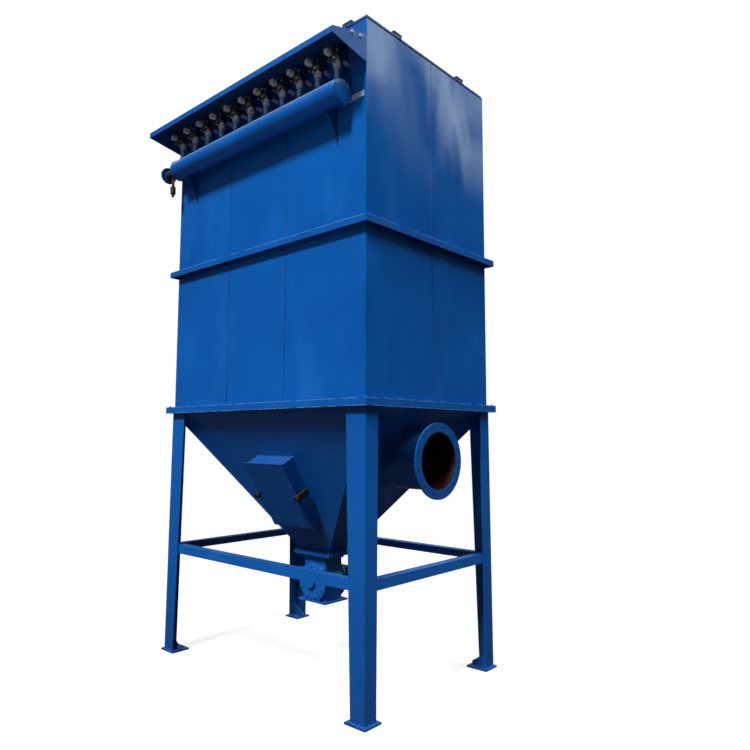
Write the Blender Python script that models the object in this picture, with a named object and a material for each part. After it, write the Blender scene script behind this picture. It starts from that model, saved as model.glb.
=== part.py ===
"""Pulse-jet bag filter dust collector on four legs, in metres with +Z up.

The origin is on the ground under the middle of the whole machine. The air header and
its row of pulse valves are on the front (-Y), the dirty-air inlet is on the right (+X)
and the clean-air outlet is on the back (+Y). Shapes are first drawn about the casing's
centre line, and one empty then carries them all to the origin.
"""

import math

import bmesh
import bpy
from mathutils import Matrix, Vector

# Casing: a welded sheet box on a channel ring
CASING_WIDTH = 2.10
CASING_DEPTH = 1.35
SHEET = 0.005
CASING_TOP_Z = 4.305
SEAT_GAP = 0.0003
# How far a cut runs past the steel that it goes through
CUT_RUN = 0.10

# Ring beam under the casing, a channel with its open side in
BEAM_BOTTOM_Z = 1.845
BEAM_HEIGHT = 0.050
BEAM_REACH = 0.050
BEAM_SEAT = 0.012
BEAM_STEEL = 0.005

# Girt, an angle round the casing with its lip turned down
GIRT_TOP_Z = 3.010
GIRT_REACH = 0.050
GIRT_LIP = 0.045
GIRT_STEEL = 0.005

# Hopper, an inverted pyramid of four plates
OUTLET_LENGTH = 0.300
OUTLET_WIDTH = 0.180
OUTLET_Z = 0.800
HOPPER_SHEET = 0.005

# Outlet flange under the hopper
OUTLET_FLANGE_WIDTH = 0.040
OUTLET_FLANGE_STEEL = 0.014

# Inlet duct on the hopper's right plate
INLET_BORE = 0.380
INLET_WALL = 0.005
INLET_DROP = 0.345
INLET_REACH = 0.050
INLET_FLANGE_OD = 0.510
INLET_FLANGE_STEEL = 0.014

# Clean-air outlet on the back of the casing
CLEAN_BORE = 0.400
CLEAN_WALL = 0.005
CLEAN_DROP = 0.455
CLEAN_LENGTH = 0.120
CLEAN_FLANGE_OD = 0.500
CLEAN_FLANGE_STEEL = 0.014
# How far a duct's end stands back from the face of its flange
FLANGE_STEP = 0.001

# Legs, folded angles that taper and lean out towards the ground
LEG_STEEL = 0.008
LEG_TOP_X = 0.165
LEG_TOP_Y = 0.115
LEG_FOOT_X = 0.115
LEG_FOOT_Y = 0.100
LEG_SPLAY = 0.008
FOOT_LENGTH = 0.165
FOOT_WIDTH = 0.145
FOOT_STEEL = 0.012
FOOT_BORDER = 0.018
GUSSET_HEIGHT = 0.110
GUSSET_STEEL = 0.008
GUSSET_TOE = 0.015

# Braces between the legs
BRACE_BOTTOM_Z = 0.750
BRACE_SIZE = 0.065
BRACE_STEEL = 0.006

# Roof deck and its three lids
DECK_STEEL = 0.005
LID_COUNT = 3
LID_HEIGHT = 0.024
LID_BORDER = 0.006
LID_GAP = 0.012
LID_CLAMP_LENGTH = 0.080
LID_CLAMP_WIDTH = 0.045
LID_CLAMP_HEIGHT = 0.022
LID_CLAMP_SHARES = (0.25, 0.75)
SIDE_CLAMP_Y = 0.365

# Rain canopy over the valves
CANOPY_REACH = 0.305
CANOPY_STEEL = 0.004
CANOPY_DROP = 0.105
CANOPY_FALL = 0.095
CANOPY_LIP = 0.040
CHEEK_DEPTH = 0.190

# Air header along the front
HEADER_INSET = 0.115
HEADER_DIAMETER = 0.159
HEADER_STANDOFF = 0.100
HEADER_DROP = 0.483
HEADER_DISH = 0.009
DISH_STEPS = 4
BOSS_DIAMETER = 0.050
BOSS_HEIGHT = 0.012
NOZZLE_DIAMETER = 0.065
NOZZLE_LENGTH = 0.156
NOZZLE_FLANGE_DIAMETER = 0.133
NOZZLE_FLANGE_STEEL = 0.014
DRAIN_RUN = 0.075
DRAIN_PIPE_DIAMETER = 0.022
DRAIN_COCK_DIAMETER = 0.042
DRAIN_LENGTH = 0.165
TAB_LENGTH = 0.190
TAB_HEIGHT = 0.036
TAB_STEEL = 0.010
TAB_EDGE = 0.015
TAB_DROP = 0.030

# Header brackets
BRACKET_STEEL = 0.008
BRACKET_INSET = 0.135
BRACKET_RISE = 0.039
BRACKET_FALL = 0.282
BRACKET_TOE = 0.020

# Right-angle pulse valves, one for each row of bags
VALVE_COUNT = 11
VALVE_END_SPACE = 0.049
VALVE_PIPE_DIAMETER = 0.034
VALVE_RISE = 0.145
VALVE_BODY_DIAMETER = 0.062
VALVE_COVER_DIAMETER = 0.090
VALVE_COVER_STEEL = 0.012
VALVE_BODY_LENGTH = 0.052
VALVE_LUG_DIAMETER = 0.022
VALVE_LUG_COUNT = 6
LUG_STEP = 0.002
VALVE_SHOULDER = 0.012
NUT_SIZE = 0.050
NUT_HEIGHT = 0.018
NUT_BITE = 0.004
COIL_SIZE = 0.032
COIL_LENGTH = 0.040
PILOT_DIAMETER = 0.030
PILOT_LENGTH = 0.014
VALVE_DOME = 0.010

# Inspection hatch on the hopper's front plate
HATCH_WIDTH = 0.400
HATCH_HEIGHT = 0.530
HATCH_DROP = 0.325
HATCH_TOP_DEPTH = 0.120
HATCH_BOTTOM_DEPTH = 0.085
HATCH_STEEL = 0.006
HATCH_HOLE_BORDER = 0.030
COVER_OVERHANG = 0.014
COVER_STEEL = 0.008
CLAMP_WIDTH = 0.024
CLAMP_HEIGHT = 0.044
CLAMP_KNOB_DIAMETER = 0.050
CLAMP_KNOB_HEIGHT = 0.022
CLAMP_GRIP = 0.030
CLAMP_LOW = 0.020
CLAMP_FOOT = 0.014
CLAMP_LIP = 0.008
CLAMP_STEP = 0.003
KNOB_EDGE = 0.005

# Rotary discharge valve under the outlet flange
ROTOR_HOUSING_DIAMETER = 0.260
ROTOR_HOUSING_LENGTH = 0.220
ROTOR_DROP = 0.225
ROTARY_FLANGE_STEEL = 0.012
ROTARY_HEIGHT = 0.370
ROTARY_THROAT_LENGTH = 0.220
ROTARY_THROAT_WIDTH = 0.170
HUB_DIAMETER = 0.090
HUB_LENGTH = 0.035
COVER_RIM = 0.012
ROTARY_FOOT_WIDTH = 0.035
MOTOR_DIAMETER = 0.130
MOTOR_LENGTH = 0.230
MOTOR_CHAMFER = 0.030
GEARBOX_SIZE = 0.150
GEARBOX_LENGTH = 0.110

HALF_W = CASING_WIDTH / 2
HALF_D = CASING_DEPTH / 2
BEAM_TOP_Z = BEAM_BOTTOM_Z + BEAM_HEIGHT
HOPPER_TOP_Z = BEAM_BOTTOM_Z - SEAT_GAP
HOPPER_DROP = HOPPER_TOP_Z - OUTLET_Z
FRONT_RUN = HALF_D - OUTLET_WIDTH / 2
SIDE_RUN = HALF_W - OUTLET_LENGTH / 2
CASING_BOTTOM_Z = BEAM_TOP_Z + SEAT_GAP
INLET_FACE_X = HALF_W + INLET_REACH
INLET_Z = BEAM_BOTTOM_Z - INLET_DROP
HATCH_TOP_Z = BEAM_BOTTOM_Z - HATCH_DROP
CLEAN_Z = CASING_TOP_Z - CLEAN_DROP
ROTOR_AXIS_Z = OUTLET_Z - ROTOR_DROP
ROTARY_BOTTOM_Z = OUTLET_Z - ROTARY_HEIGHT
CANOPY_WALL_Z = CASING_TOP_Z - CANOPY_DROP
CANOPY_LIP_TOP_Z = CANOPY_WALL_Z - CANOPY_FALL
CANOPY_LIP_BOTTOM_Z = CANOPY_LIP_TOP_Z - CANOPY_LIP
CANOPY_CHEEK_BOTTOM_Z = CANOPY_WALL_Z - CHEEK_DEPTH
HEADER_LENGTH = CASING_WIDTH - 2 * HEADER_INSET
HEADER_Y = -HALF_D - HEADER_STANDOFF
HEADER_Z = CASING_TOP_Z - HEADER_DROP
BRACKET_TOP_Z = HEADER_Z + BRACKET_RISE
BRACKET_BOTTOM_Z = HEADER_Z - BRACKET_FALL
VALVE_PITCH = (HEADER_LENGTH - 2 * VALVE_END_SPACE) / (VALVE_COUNT - 1)
VALVE_REACH = VALVE_BODY_LENGTH / 2 + VALVE_COVER_STEEL + VALVE_DOME + PILOT_LENGTH + COIL_LENGTH


def clear_scene():
    for item in list(bpy.data.objects):
        bpy.data.objects.remove(item, do_unlink=True)


def material(name, color, roughness, metallic):
    made = bpy.data.materials.new(name)
    made.use_nodes = True
    shader = made.node_tree.nodes["Principled BSDF"]
    shader.inputs["Base Color"].default_value = (*color, 1.0)
    shader.inputs["Roughness"].default_value = roughness
    shader.inputs["Metallic"].default_value = metallic
    return made


def add_object(name, shape, finish, smooth_angle=None):
    """Put a finished bmesh in the scene as one named object."""
    bmesh.ops.recalc_face_normals(shape, faces=shape.faces[:])
    mesh = bpy.data.meshes.new(name)
    shape.to_mesh(mesh)
    shape.free()
    mesh.materials.append(finish)
    if smooth_angle is not None:
        mesh.shade_smooth()
        mesh.set_sharp_from_angle(angle=math.radians(smooth_angle))
    item = bpy.data.objects.new(name, mesh)
    bpy.context.scene.collection.objects.link(item)
    return item


def box(low, high):
    shape = bmesh.new()
    bmesh.ops.create_cube(shape, size=1.0)
    size = Vector(high) - Vector(low)
    middle = (Vector(high) + Vector(low)) / 2
    bmesh.ops.scale(shape, vec=size, verts=shape.verts[:])
    bmesh.ops.translate(shape, vec=middle, verts=shape.verts[:])
    return shape


def prism(outline, place, start, end):
    """Extrude a flat outline; place(a, b, c) turns outline and depth into a point."""
    shape = bmesh.new()
    near = [shape.verts.new(place(a, b, start)) for a, b in outline]
    far = [shape.verts.new(place(a, b, end)) for a, b in outline]
    shape.faces.new(near)
    shape.faces.new(list(reversed(far)))
    for i in range(len(outline)):
        j = (i + 1) % len(outline)
        shape.faces.new((near[i], far[i], far[j], near[j]))
    return shape


def along_x(a, b, c):
    return (c, a, b)


def along_y(a, b, c):
    return (a, c, b)


def turned(profile, sides):
    """Turn (radius, height) points about Z into a closed body of revolution."""
    shape = bmesh.new()
    rings = []
    for radius, height in profile:
        if radius == 0:
            rings.append([shape.verts.new((0, 0, height))])
            continue
        ring = []
        for k in range(sides):
            turn = 2 * math.pi * k / sides
            ring.append(shape.verts.new((radius * math.cos(turn), radius * math.sin(turn), height)))
        rings.append(ring)
    for lower, upper in zip(rings, rings[1:]):
        for k in range(sides):
            n = (k + 1) % sides
            corners = [lower[k % len(lower)], lower[n % len(lower)], upper[n % len(upper)], upper[k % len(upper)]]
            shape.faces.new(list(dict.fromkeys(corners)))
    for ring in (rings[0], rings[-1]):
        if len(ring) > 1:
            shape.faces.new(ring)
    return shape


def moved(shape, matrix):
    bmesh.ops.transform(shape, matrix=matrix, verts=shape.verts[:])
    return shape


def aimed(shape, direction, at):
    """Point a shape's +Z along a direction and move its origin to a place."""
    turn = Vector((0, 0, 1)).rotation_difference(Vector(direction)).to_matrix().to_4x4()
    return moved(shape, Matrix.Translation(at) @ turn)


def tube(outer, bore, length, sides):
    """A straight pipe about Z, from 0 to its length."""
    shape = bmesh.new()
    rings = []
    for radius, height in ((outer, 0), (outer, length), (bore, length), (bore, 0)):
        ring = []
        for k in range(sides):
            turn = 2 * math.pi * k / sides
            ring.append(shape.verts.new((radius * math.cos(turn), radius * math.sin(turn), height)))
        rings.append(ring)
    for i in range(len(rings)):
        first, second = rings[i], rings[(i + 1) % len(rings)]
        for k in range(sides):
            n = (k + 1) % sides
            shape.faces.new((first[k], first[n], second[n], second[k]))
    return shape


def combine(base, tools, operation):
    """Add shapes to a body, or cut them from it, and keep one clean mesh."""
    for tool in tools:
        bmesh.ops.recalc_face_normals(tool, faces=tool.faces[:])
        mesh = bpy.data.meshes.new("tool")
        tool.to_mesh(mesh)
        tool.free()
        helper = bpy.data.objects.new("tool", mesh)
        bpy.context.scene.collection.objects.link(helper)
        change = base.modifiers.new("join", "BOOLEAN")
        change.operation = operation
        change.solver = "EXACT"
        change.object = helper
        bpy.context.view_layer.update()
        graph = bpy.context.evaluated_depsgraph_get()
        result = bpy.data.meshes.new_from_object(base.evaluated_get(graph))
        base.modifiers.clear()
        base.data = result
        bpy.data.objects.remove(helper, do_unlink=True)
    return base


def smooth(item, angle):
    item.data.shade_smooth()
    item.data.set_sharp_from_angle(angle=math.radians(angle))
    return item


def frame_ring(section):
    """Sweep a section of (reach, height) points round the casing with mitred corners."""
    shape = bmesh.new()
    corners = ((-1, -1), (1, -1), (1, 1), (-1, 1))
    rings = []
    for sx, sy in corners:
        ring = []
        for reach, height in section:
            ring.append(shape.verts.new((sx * (HALF_W + reach), sy * (HALF_D + reach), height)))
        rings.append(ring)
    for i in range(len(corners)):
        here, there = rings[i], rings[(i + 1) % len(corners)]
        for k in range(len(section)):
            n = (k + 1) % len(section)
            shape.faces.new((here[k], there[k], there[n], here[n]))
    return shape


def make_ring_beam(paint):
    z0, z1 = BEAM_BOTTOM_Z, BEAM_TOP_Z
    section = (
        (-BEAM_SEAT, z0),
        (BEAM_REACH, z0),
        (BEAM_REACH, z1),
        (-BEAM_SEAT, z1),
        (-BEAM_SEAT, z1 - BEAM_STEEL),
        (BEAM_REACH - BEAM_STEEL, z1 - BEAM_STEEL),
        (BEAM_REACH - BEAM_STEEL, z0 + BEAM_STEEL),
        (-BEAM_SEAT, z0 + BEAM_STEEL),
    )
    add_object("ring_beam", frame_ring(section), paint)


def make_girt(paint):
    top = GIRT_TOP_Z
    section = (
        (SEAT_GAP, top - GIRT_STEEL),
        (GIRT_REACH - GIRT_STEEL, top - GIRT_STEEL),
        (GIRT_REACH - GIRT_STEEL, top - GIRT_LIP),
        (GIRT_REACH, top - GIRT_LIP),
        (GIRT_REACH, top),
        (SEAT_GAP, top),
    )
    add_object("casing_girt", frame_ring(section), paint)


def make_casing(paint):
    side_y = HALF_D - SHEET - SEAT_GAP
    z0, z1 = CASING_BOTTOM_Z, CASING_TOP_Z
    add_object("casing_front", box((-HALF_W, -HALF_D, z0), (HALF_W, -HALF_D + SHEET, z1)), paint)
    back = add_object("casing_back", box((-HALF_W, HALF_D - SHEET, z0), (HALF_W, HALF_D, z1)), paint)
    bore = turned(((CLEAN_BORE / 2, -CUT_RUN), (CLEAN_BORE / 2, CUT_RUN)), 32)
    combine(back, [aimed(bore, (0, 1, 0), (0, HALF_D, CLEAN_Z))], "DIFFERENCE")
    add_object("casing_left", box((-HALF_W, -side_y, z0), (-HALF_W + SHEET, side_y, z1)), paint)
    add_object("casing_right", box((HALF_W - SHEET, -side_y, z0), (HALF_W, side_y, z1)), paint)


def hopper_plate(run_sign, on_front):
    """One sloping plate, mitred to its neighbours along the corner edges."""
    slope_front = math.hypot(HOPPER_DROP, FRONT_RUN) / HOPPER_DROP
    slope_side = math.hypot(HOPPER_DROP, SIDE_RUN) / HOPPER_DROP
    in_y = HOPPER_SHEET * slope_front
    in_x = HOPPER_SHEET * slope_side
    trim = 0 if on_front else 2 * SEAT_GAP
    levels = ((OUTLET_Z, OUTLET_LENGTH / 2, OUTLET_WIDTH / 2), (HOPPER_TOP_Z, HALF_W, HALF_D))
    shape = bmesh.new()
    rows = []
    for z, half_x, half_y in levels:
        if on_front:
            points = (
                (-half_x, run_sign * half_y, z),
                (half_x, run_sign * half_y, z),
                (half_x - in_x, run_sign * (half_y - in_y), z),
                (-half_x + in_x, run_sign * (half_y - in_y), z),
            )
        else:
            points = (
                (run_sign * half_x, -half_y + trim, z),
                (run_sign * half_x, half_y - trim, z),
                (run_sign * (half_x - in_x), half_y - in_y - trim, z),
                (run_sign * (half_x - in_x), -half_y + in_y + trim, z),
            )
        rows.append([shape.verts.new(point) for point in points])
    low, high = rows
    shape.faces.new(low)
    shape.faces.new(high)
    for k in range(4):
        n = (k + 1) % 4
        shape.faces.new((low[k], low[n], high[n], high[k]))
    return shape


def front_plate_point(u, v, n):
    """A point on the hopper's front plate: across, up the slope from the hatch's top edge, and out."""
    slope = Vector((0, -FRONT_RUN, HOPPER_DROP)).normalized()
    out = Vector((0, -HOPPER_DROP, -FRONT_RUN)).normalized()
    share = (HATCH_TOP_Z - OUTLET_Z) / HOPPER_DROP
    origin = Vector((0, -OUTLET_WIDTH / 2 - FRONT_RUN * share, HATCH_TOP_Z))
    return origin + Vector((u, 0, 0)) + slope * v + out * n


def hatch_prism(outline, start, end):
    """Extrude an outline of (up the slope, out) points across the hopper's front plate."""
    return prism(outline, lambda v, n, u: front_plate_point(u, v, n), start, end)


def hatch_depth(v):
    share = -v / HATCH_HEIGHT
    return HATCH_TOP_DEPTH + (HATCH_BOTTOM_DEPTH - HATCH_TOP_DEPTH) * share


def make_hopper(paint):
    front = add_object("hopper_front", hopper_plate(-1, True), paint)
    border = HATCH_HOLE_BORDER
    top, low = -border, -HATCH_HEIGHT + border
    outline = ((top, -CUT_RUN), (low, -CUT_RUN), (low, CUT_RUN), (top, CUT_RUN))
    hole = hatch_prism(outline, -HATCH_WIDTH / 2 + border, HATCH_WIDTH / 2 - border)
    combine(front, [hole], "DIFFERENCE")
    add_object("hopper_back", hopper_plate(1, True), paint)
    add_object("hopper_left", hopper_plate(-1, False), paint)
    right = add_object("hopper_right", hopper_plate(1, False), paint)
    bore = turned(((INLET_BORE / 2, 0), (INLET_BORE / 2, HALF_W)), 40)
    combine(right, [aimed(bore, (1, 0, 0), (OUTLET_LENGTH / 2, 0, INLET_Z))], "DIFFERENCE")


def hopper_inside(margin):
    """The space under the hopper's right plate, used to trim the duct to it."""
    normal = Vector((HOPPER_DROP, 0, -SIDE_RUN)).normalized()
    low = Vector((OUTLET_LENGTH / 2, 0, OUTLET_Z)) + normal * margin
    high = Vector((HALF_W, 0, HOPPER_TOP_Z)) + normal * margin
    climb = (high - low).normalized()
    start = low - climb
    end = high + climb
    far = CASING_WIDTH
    outline = ((start.x, start.z), (end.x, end.z), (end.x - far, end.z), (start.x - far, start.z))
    return prism(outline, along_y, -HALF_D, HALF_D)


def make_flange(name, pipe_radius, diameter, steel, direction, face, paint):
    """A flat ring round a duct's end, set a step in front of the duct and turned along a direction."""
    ring = tube(diameter / 2, pipe_radius + SEAT_GAP, steel, 40)
    start = Vector(face) - Vector(direction) * steel
    add_object(name, aimed(ring, direction, start), paint, 30)


def make_inlet(paint):
    start = OUTLET_LENGTH
    outer = INLET_BORE / 2 + INLET_WALL
    length = INLET_FACE_X - FLANGE_STEP - start
    pipe = aimed(tube(outer, INLET_BORE / 2, length, 40), (1, 0, 0), (start, 0, INLET_Z))
    duct = add_object("inlet_duct", pipe, paint)
    combine(duct, [hopper_inside(SEAT_GAP)], "DIFFERENCE")
    smooth(duct, 30)
    face = (INLET_FACE_X, 0, INLET_Z)
    make_flange("inlet_flange", outer, INLET_FLANGE_OD, INLET_FLANGE_STEEL, (1, 0, 0), face, paint)


def make_clean_outlet(paint):
    outer = CLEAN_BORE / 2 + CLEAN_WALL
    foot = HALF_D + SEAT_GAP
    length = CLEAN_LENGTH - FLANGE_STEP
    pipe = aimed(tube(outer, CLEAN_BORE / 2, length, 40), (0, 1, 0), (0, foot, CLEAN_Z))
    add_object("clean_air_duct", pipe, paint, 30)
    face = (0, foot + CLEAN_LENGTH, CLEAN_Z)
    make_flange("clean_air_flange", outer, CLEAN_FLANGE_OD, CLEAN_FLANGE_STEEL, (0, 1, 0), face, paint)


def make_hatch(paint, dark):
    half = HATCH_WIDTH / 2
    down = -HATCH_HEIGHT
    wedge = ((0, SEAT_GAP), (down, SEAT_GAP), (down, HATCH_BOTTOM_DEPTH), (0, HATCH_TOP_DEPTH))
    chute = add_object("hatch_chute", hatch_prism(wedge, -half, half), paint)
    steel = HATCH_STEEL
    high = HATCH_TOP_DEPTH + CUT_RUN
    inside = ((-steel, -CUT_RUN), (down + steel, -CUT_RUN), (down + steel, high), (-steel, high))
    combine(chute, [hatch_prism(inside, -half + steel, half - steel)], "DIFFERENCE")
    lap = COVER_OVERHANG
    seat = SEAT_GAP
    plate = (
        (lap, hatch_depth(lap) + seat),
        (down - lap, hatch_depth(down - lap) + seat),
        (down - lap, hatch_depth(down - lap) + seat + COVER_STEEL),
        (lap, hatch_depth(lap) + seat + COVER_STEEL),
    )
    add_object("hatch_cover", hatch_prism(plate, -half - lap, half + lap), paint)
    for name, side in (("hatch_clamp_left", -1), ("hatch_clamp_right", 1)):
        make_clamp(name, side, dark)


def make_clamp(name, side, dark):
    """A bracket on the chute's side with a screw knob that presses the cover's edge."""
    middle = -HATCH_HEIGHT / 2
    face = hatch_depth(middle) + SEAT_GAP + COVER_STEEL
    half = HATCH_WIDTH / 2
    tilt = (HATCH_TOP_DEPTH - HATCH_BOTTOM_DEPTH) / HATCH_HEIGHT
    v0, v1 = middle - CLAMP_HEIGHT / 2, middle + CLAMP_HEIGHT / 2
    near = half + COVER_OVERHANG + SEAT_GAP * 4
    lip_low = face + SEAT_GAP * 2 + tilt * CLAMP_HEIGHT / 2
    low, high = CLAMP_LOW, lip_low + CLAMP_LIP + CLAMP_STEP
    arm = ((v0, low), (v1, low), (v1, high), (v0, high))
    spans = sorted((side * near, side * (near + CLAMP_WIDTH)))
    clamp = add_object(name, hatch_prism(arm, *spans), dark)
    w0, w1 = v0 + CLAMP_STEP, v1 - CLAMP_STEP
    foot_low = low + CLAMP_STEP
    foot = ((w0, foot_low), (w1, foot_low), (w1, low + CLAMP_FOOT), (w0, low + CLAMP_FOOT))
    reach = sorted((side * (half + SEAT_GAP), side * (near + CLAMP_WIDTH / 2)))
    lip = ((w0, lip_low), (w1, lip_low), (w1, lip_low + CLAMP_LIP), (w0, lip_low + CLAMP_LIP))
    grip = sorted((side * (half + COVER_OVERHANG - CLAMP_GRIP / 2), side * (near + CLAMP_WIDTH / 2)))
    combine(clamp, [hatch_prism(foot, *reach), hatch_prism(lip, *grip)], "UNION")
    radius = CLAMP_KNOB_DIAMETER / 2
    inner = radius - KNOB_EDGE
    thick = CLAMP_KNOB_HEIGHT
    knob = turned(((inner, 0), (radius, KNOB_EDGE), (radius, thick - KNOB_EDGE), (inner, thick)), 12)
    centre = front_plate_point(side * (near + CLAMP_STEP * 2), middle, lip_low + CLAMP_LIP / 2)
    out = (front_plate_point(0, 0, 1) - front_plate_point(0, 0, 0)).normalized()
    combine(clamp, [aimed(knob, out, centre)], "UNION")


def make_outlet_flange(paint):
    wide = OUTLET_FLANGE_WIDTH
    top = OUTLET_Z - SEAT_GAP
    low = top - OUTLET_FLANGE_STEEL
    half_x, half_y = OUTLET_LENGTH / 2, OUTLET_WIDTH / 2
    plate = box((-half_x - wide, -half_y - wide, low), (half_x + wide, half_y + wide, top))
    flange = add_object("hopper_outlet_flange", plate, paint)
    inset = HOPPER_SHEET
    near, far = (-half_x + inset, -half_y + inset), (half_x - inset, half_y - inset)
    hole = box((*near, low - CUT_RUN), (*far, top + CUT_RUN))
    combine(flange, [hole], "DIFFERENCE")


def make_rotary_valve(paint, motor_paint):
    top = OUTLET_Z - OUTLET_FLANGE_STEEL - 2 * SEAT_GAP
    half_x = OUTLET_LENGTH / 2 + OUTLET_FLANGE_WIDTH
    half_y = OUTLET_WIDTH / 2 + OUTLET_FLANGE_WIDTH
    steel = ROTARY_FLANGE_STEEL
    body = add_object(
        "rotary_valve",
        box((-half_x, -half_y, top - steel), (half_x, half_y, top)),
        paint,
    )
    throat_x, throat_y = ROTARY_THROAT_LENGTH / 2, ROTARY_THROAT_WIDTH / 2
    low = ROTARY_BOTTOM_Z
    throat = box((-throat_x, -throat_y, low + steel / 2), (throat_x, throat_y, top - steel / 2))
    foot_x, foot_y = throat_x + ROTARY_FOOT_WIDTH, throat_y + ROTARY_FOOT_WIDTH
    foot = box((-foot_x, -foot_y, low), (foot_x, foot_y, low + steel))
    radius = ROTOR_HOUSING_DIAMETER / 2
    half = ROTOR_HOUSING_LENGTH / 2
    hub = HUB_DIAMETER / 2
    rim = COVER_RIM
    profile = (
        (hub - rim / 2, -half - HUB_LENGTH),
        (hub, -half - HUB_LENGTH + rim / 2),
        (hub, -half - rim),
        (radius - rim, -half - rim),
        (radius + rim, -half - rim / 3),
        (radius + rim, -half + rim),
        (radius, -half + rim),
        (radius, half - rim),
        (radius + rim, half - rim),
        (radius + rim, half + rim / 3),
        (radius - rim, half + rim),
        (hub, half + rim),
        (hub, half + HUB_LENGTH),
    )
    drum = aimed(turned(profile, 32), (0, 1, 0), (0, 0, ROTOR_AXIS_Z))
    combine(body, [throat, drum, foot], "UNION")
    smooth(body, 30)
    make_gearmotor(half + HUB_LENGTH + SEAT_GAP, motor_paint)


def make_gearmotor(start, paint):
    """The drive on the valve's shaft, behind the collector."""
    half = GEARBOX_SIZE / 2
    case = box((-half, start, ROTOR_AXIS_Z - half), (half, start + GEARBOX_LENGTH, ROTOR_AXIS_Z + half))
    drive = add_object("rotary_gearmotor", case, paint)
    radius = MOTOR_DIAMETER / 2
    chamfer = MOTOR_CHAMFER
    profile = ((radius, 0), (radius, MOTOR_LENGTH - chamfer), (radius - chamfer / 2, MOTOR_LENGTH))
    at = (half / 2, start + max(GEARBOX_LENGTH / 2, radius + SEAT_GAP), ROTOR_AXIS_Z)
    barrel = aimed(turned(profile, 20), (1, 0, 0), at)
    combine(drive, [barrel], "UNION")
    smooth(drive, 30)


def leg_section(sx, sy, corner_x, corner_y, flange_x, flange_y, z):
    """The six corners of an angle whose outer corner points away from the middle."""
    steel = LEG_STEEL
    return (
        (sx * corner_x, sy * corner_y, z),
        (sx * (corner_x - flange_x), sy * corner_y, z),
        (sx * (corner_x - flange_x), sy * (corner_y - steel), z),
        (sx * (corner_x - steel), sy * (corner_y - steel), z),
        (sx * (corner_x - steel), sy * (corner_y - flange_y), z),
        (sx * corner_x, sy * (corner_y - flange_y), z),
    )


def make_leg(name, sx, sy, paint):
    top_x, top_y = HALF_W + LEG_STEEL + SEAT_GAP, HALF_D + LEG_STEEL + SEAT_GAP
    foot_x, foot_y = top_x + LEG_SPLAY, top_y + LEG_SPLAY
    shape = bmesh.new()
    low = leg_section(sx, sy, foot_x, foot_y, LEG_FOOT_X, LEG_FOOT_Y, FOOT_STEEL / 2)
    high = leg_section(sx, sy, top_x, top_y, LEG_TOP_X, LEG_TOP_Y, BEAM_BOTTOM_Z - SEAT_GAP)
    bottom = [shape.verts.new(point) for point in low]
    top = [shape.verts.new(point) for point in high]
    shape.faces.new(bottom)
    shape.faces.new(list(reversed(top)))
    for k in range(len(low)):
        n = (k + 1) % len(low)
        shape.faces.new((bottom[k], top[k], top[n], bottom[n]))
    leg = add_object(name, shape, paint)
    edge_x, edge_y = foot_x + FOOT_BORDER, foot_y + FOOT_BORDER
    xs = sorted((sx * edge_x, sx * (edge_x - FOOT_LENGTH)))
    ys = sorted((sy * edge_y, sy * (edge_y - FOOT_WIDTH)))
    plate = box((xs[0], ys[0], 0), (xs[1], ys[1], FOOT_STEEL))
    inner_x = foot_x - LEG_STEEL / 2
    outline = (
        (sx * inner_x, FOOT_STEEL / 2),
        (sx * (edge_x - FOOT_LENGTH), FOOT_STEEL / 2),
        (sx * (edge_x - FOOT_LENGTH), FOOT_STEEL + GUSSET_TOE),
        (sx * inner_x, FOOT_STEEL + GUSSET_HEIGHT),
    )
    middle = sy * (foot_y - LEG_FOOT_Y / 2)
    gusset = prism(outline, along_y, middle - GUSSET_STEEL / 2, middle + GUSSET_STEEL / 2)
    combine(leg, [plate, gusset], "UNION")


def leg_outer(half, z):
    """How far out the legs' outer faces stand at a height."""
    share = 1 - z / BEAM_BOTTOM_Z
    return half + LEG_STEEL + SEAT_GAP + LEG_SPLAY * share


def make_braces(paint):
    """Angle irons between the legs, outside face just behind the legs' outer faces."""
    z0, z1 = BRACE_BOTTOM_Z, BRACE_BOTTOM_Z + BRACE_SIZE
    steel = BRACE_STEEL
    face_y = leg_outer(HALF_D, z1) - LEG_STEEL - SEAT_GAP * 3
    face_x = leg_outer(HALF_W, z1) - LEG_STEEL - SEAT_GAP * 3
    end_x = face_x - SEAT_GAP
    end_y = face_y - BRACE_SIZE - SEAT_GAP
    section = ((0, z0), (-steel, z0), (-steel, z1 - steel), (-BRACE_SIZE, z1 - steel), (-BRACE_SIZE, z1), (0, z1))
    for name, sy in (("brace_front", -1), ("brace_back", 1)):
        outline = [(sy * (face_y + reach), z) for reach, z in section]
        add_object(name, prism(outline, along_x, -end_x, end_x), paint)
    for name, sx in (("brace_left", -1), ("brace_right", 1)):
        outline = [(sx * (face_x + reach), z) for reach, z in section]
        add_object(name, prism(outline, along_y, -end_y, end_y), paint)


def lid_clamp(edge, along, base):
    """A clamp block on a lid's edge; edge is the outward side, along its place on that side."""
    half = LID_CLAMP_LENGTH / 2
    top = base + LID_HEIGHT / 2 + LID_CLAMP_HEIGHT
    if edge in ("front", "back"):
        sy = -1 if edge == "front" else 1
        ys = sorted((sy * (HALF_D - LID_CLAMP_WIDTH), sy * HALF_D))
        return box((along - half, ys[0], base), (along + half, ys[1], top))
    sx = -1 if edge == "left" else 1
    xs = sorted((sx * (HALF_W - LID_CLAMP_WIDTH), sx * HALF_W))
    return box((xs[0], along - half, base), (xs[1], along + half, top))


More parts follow.
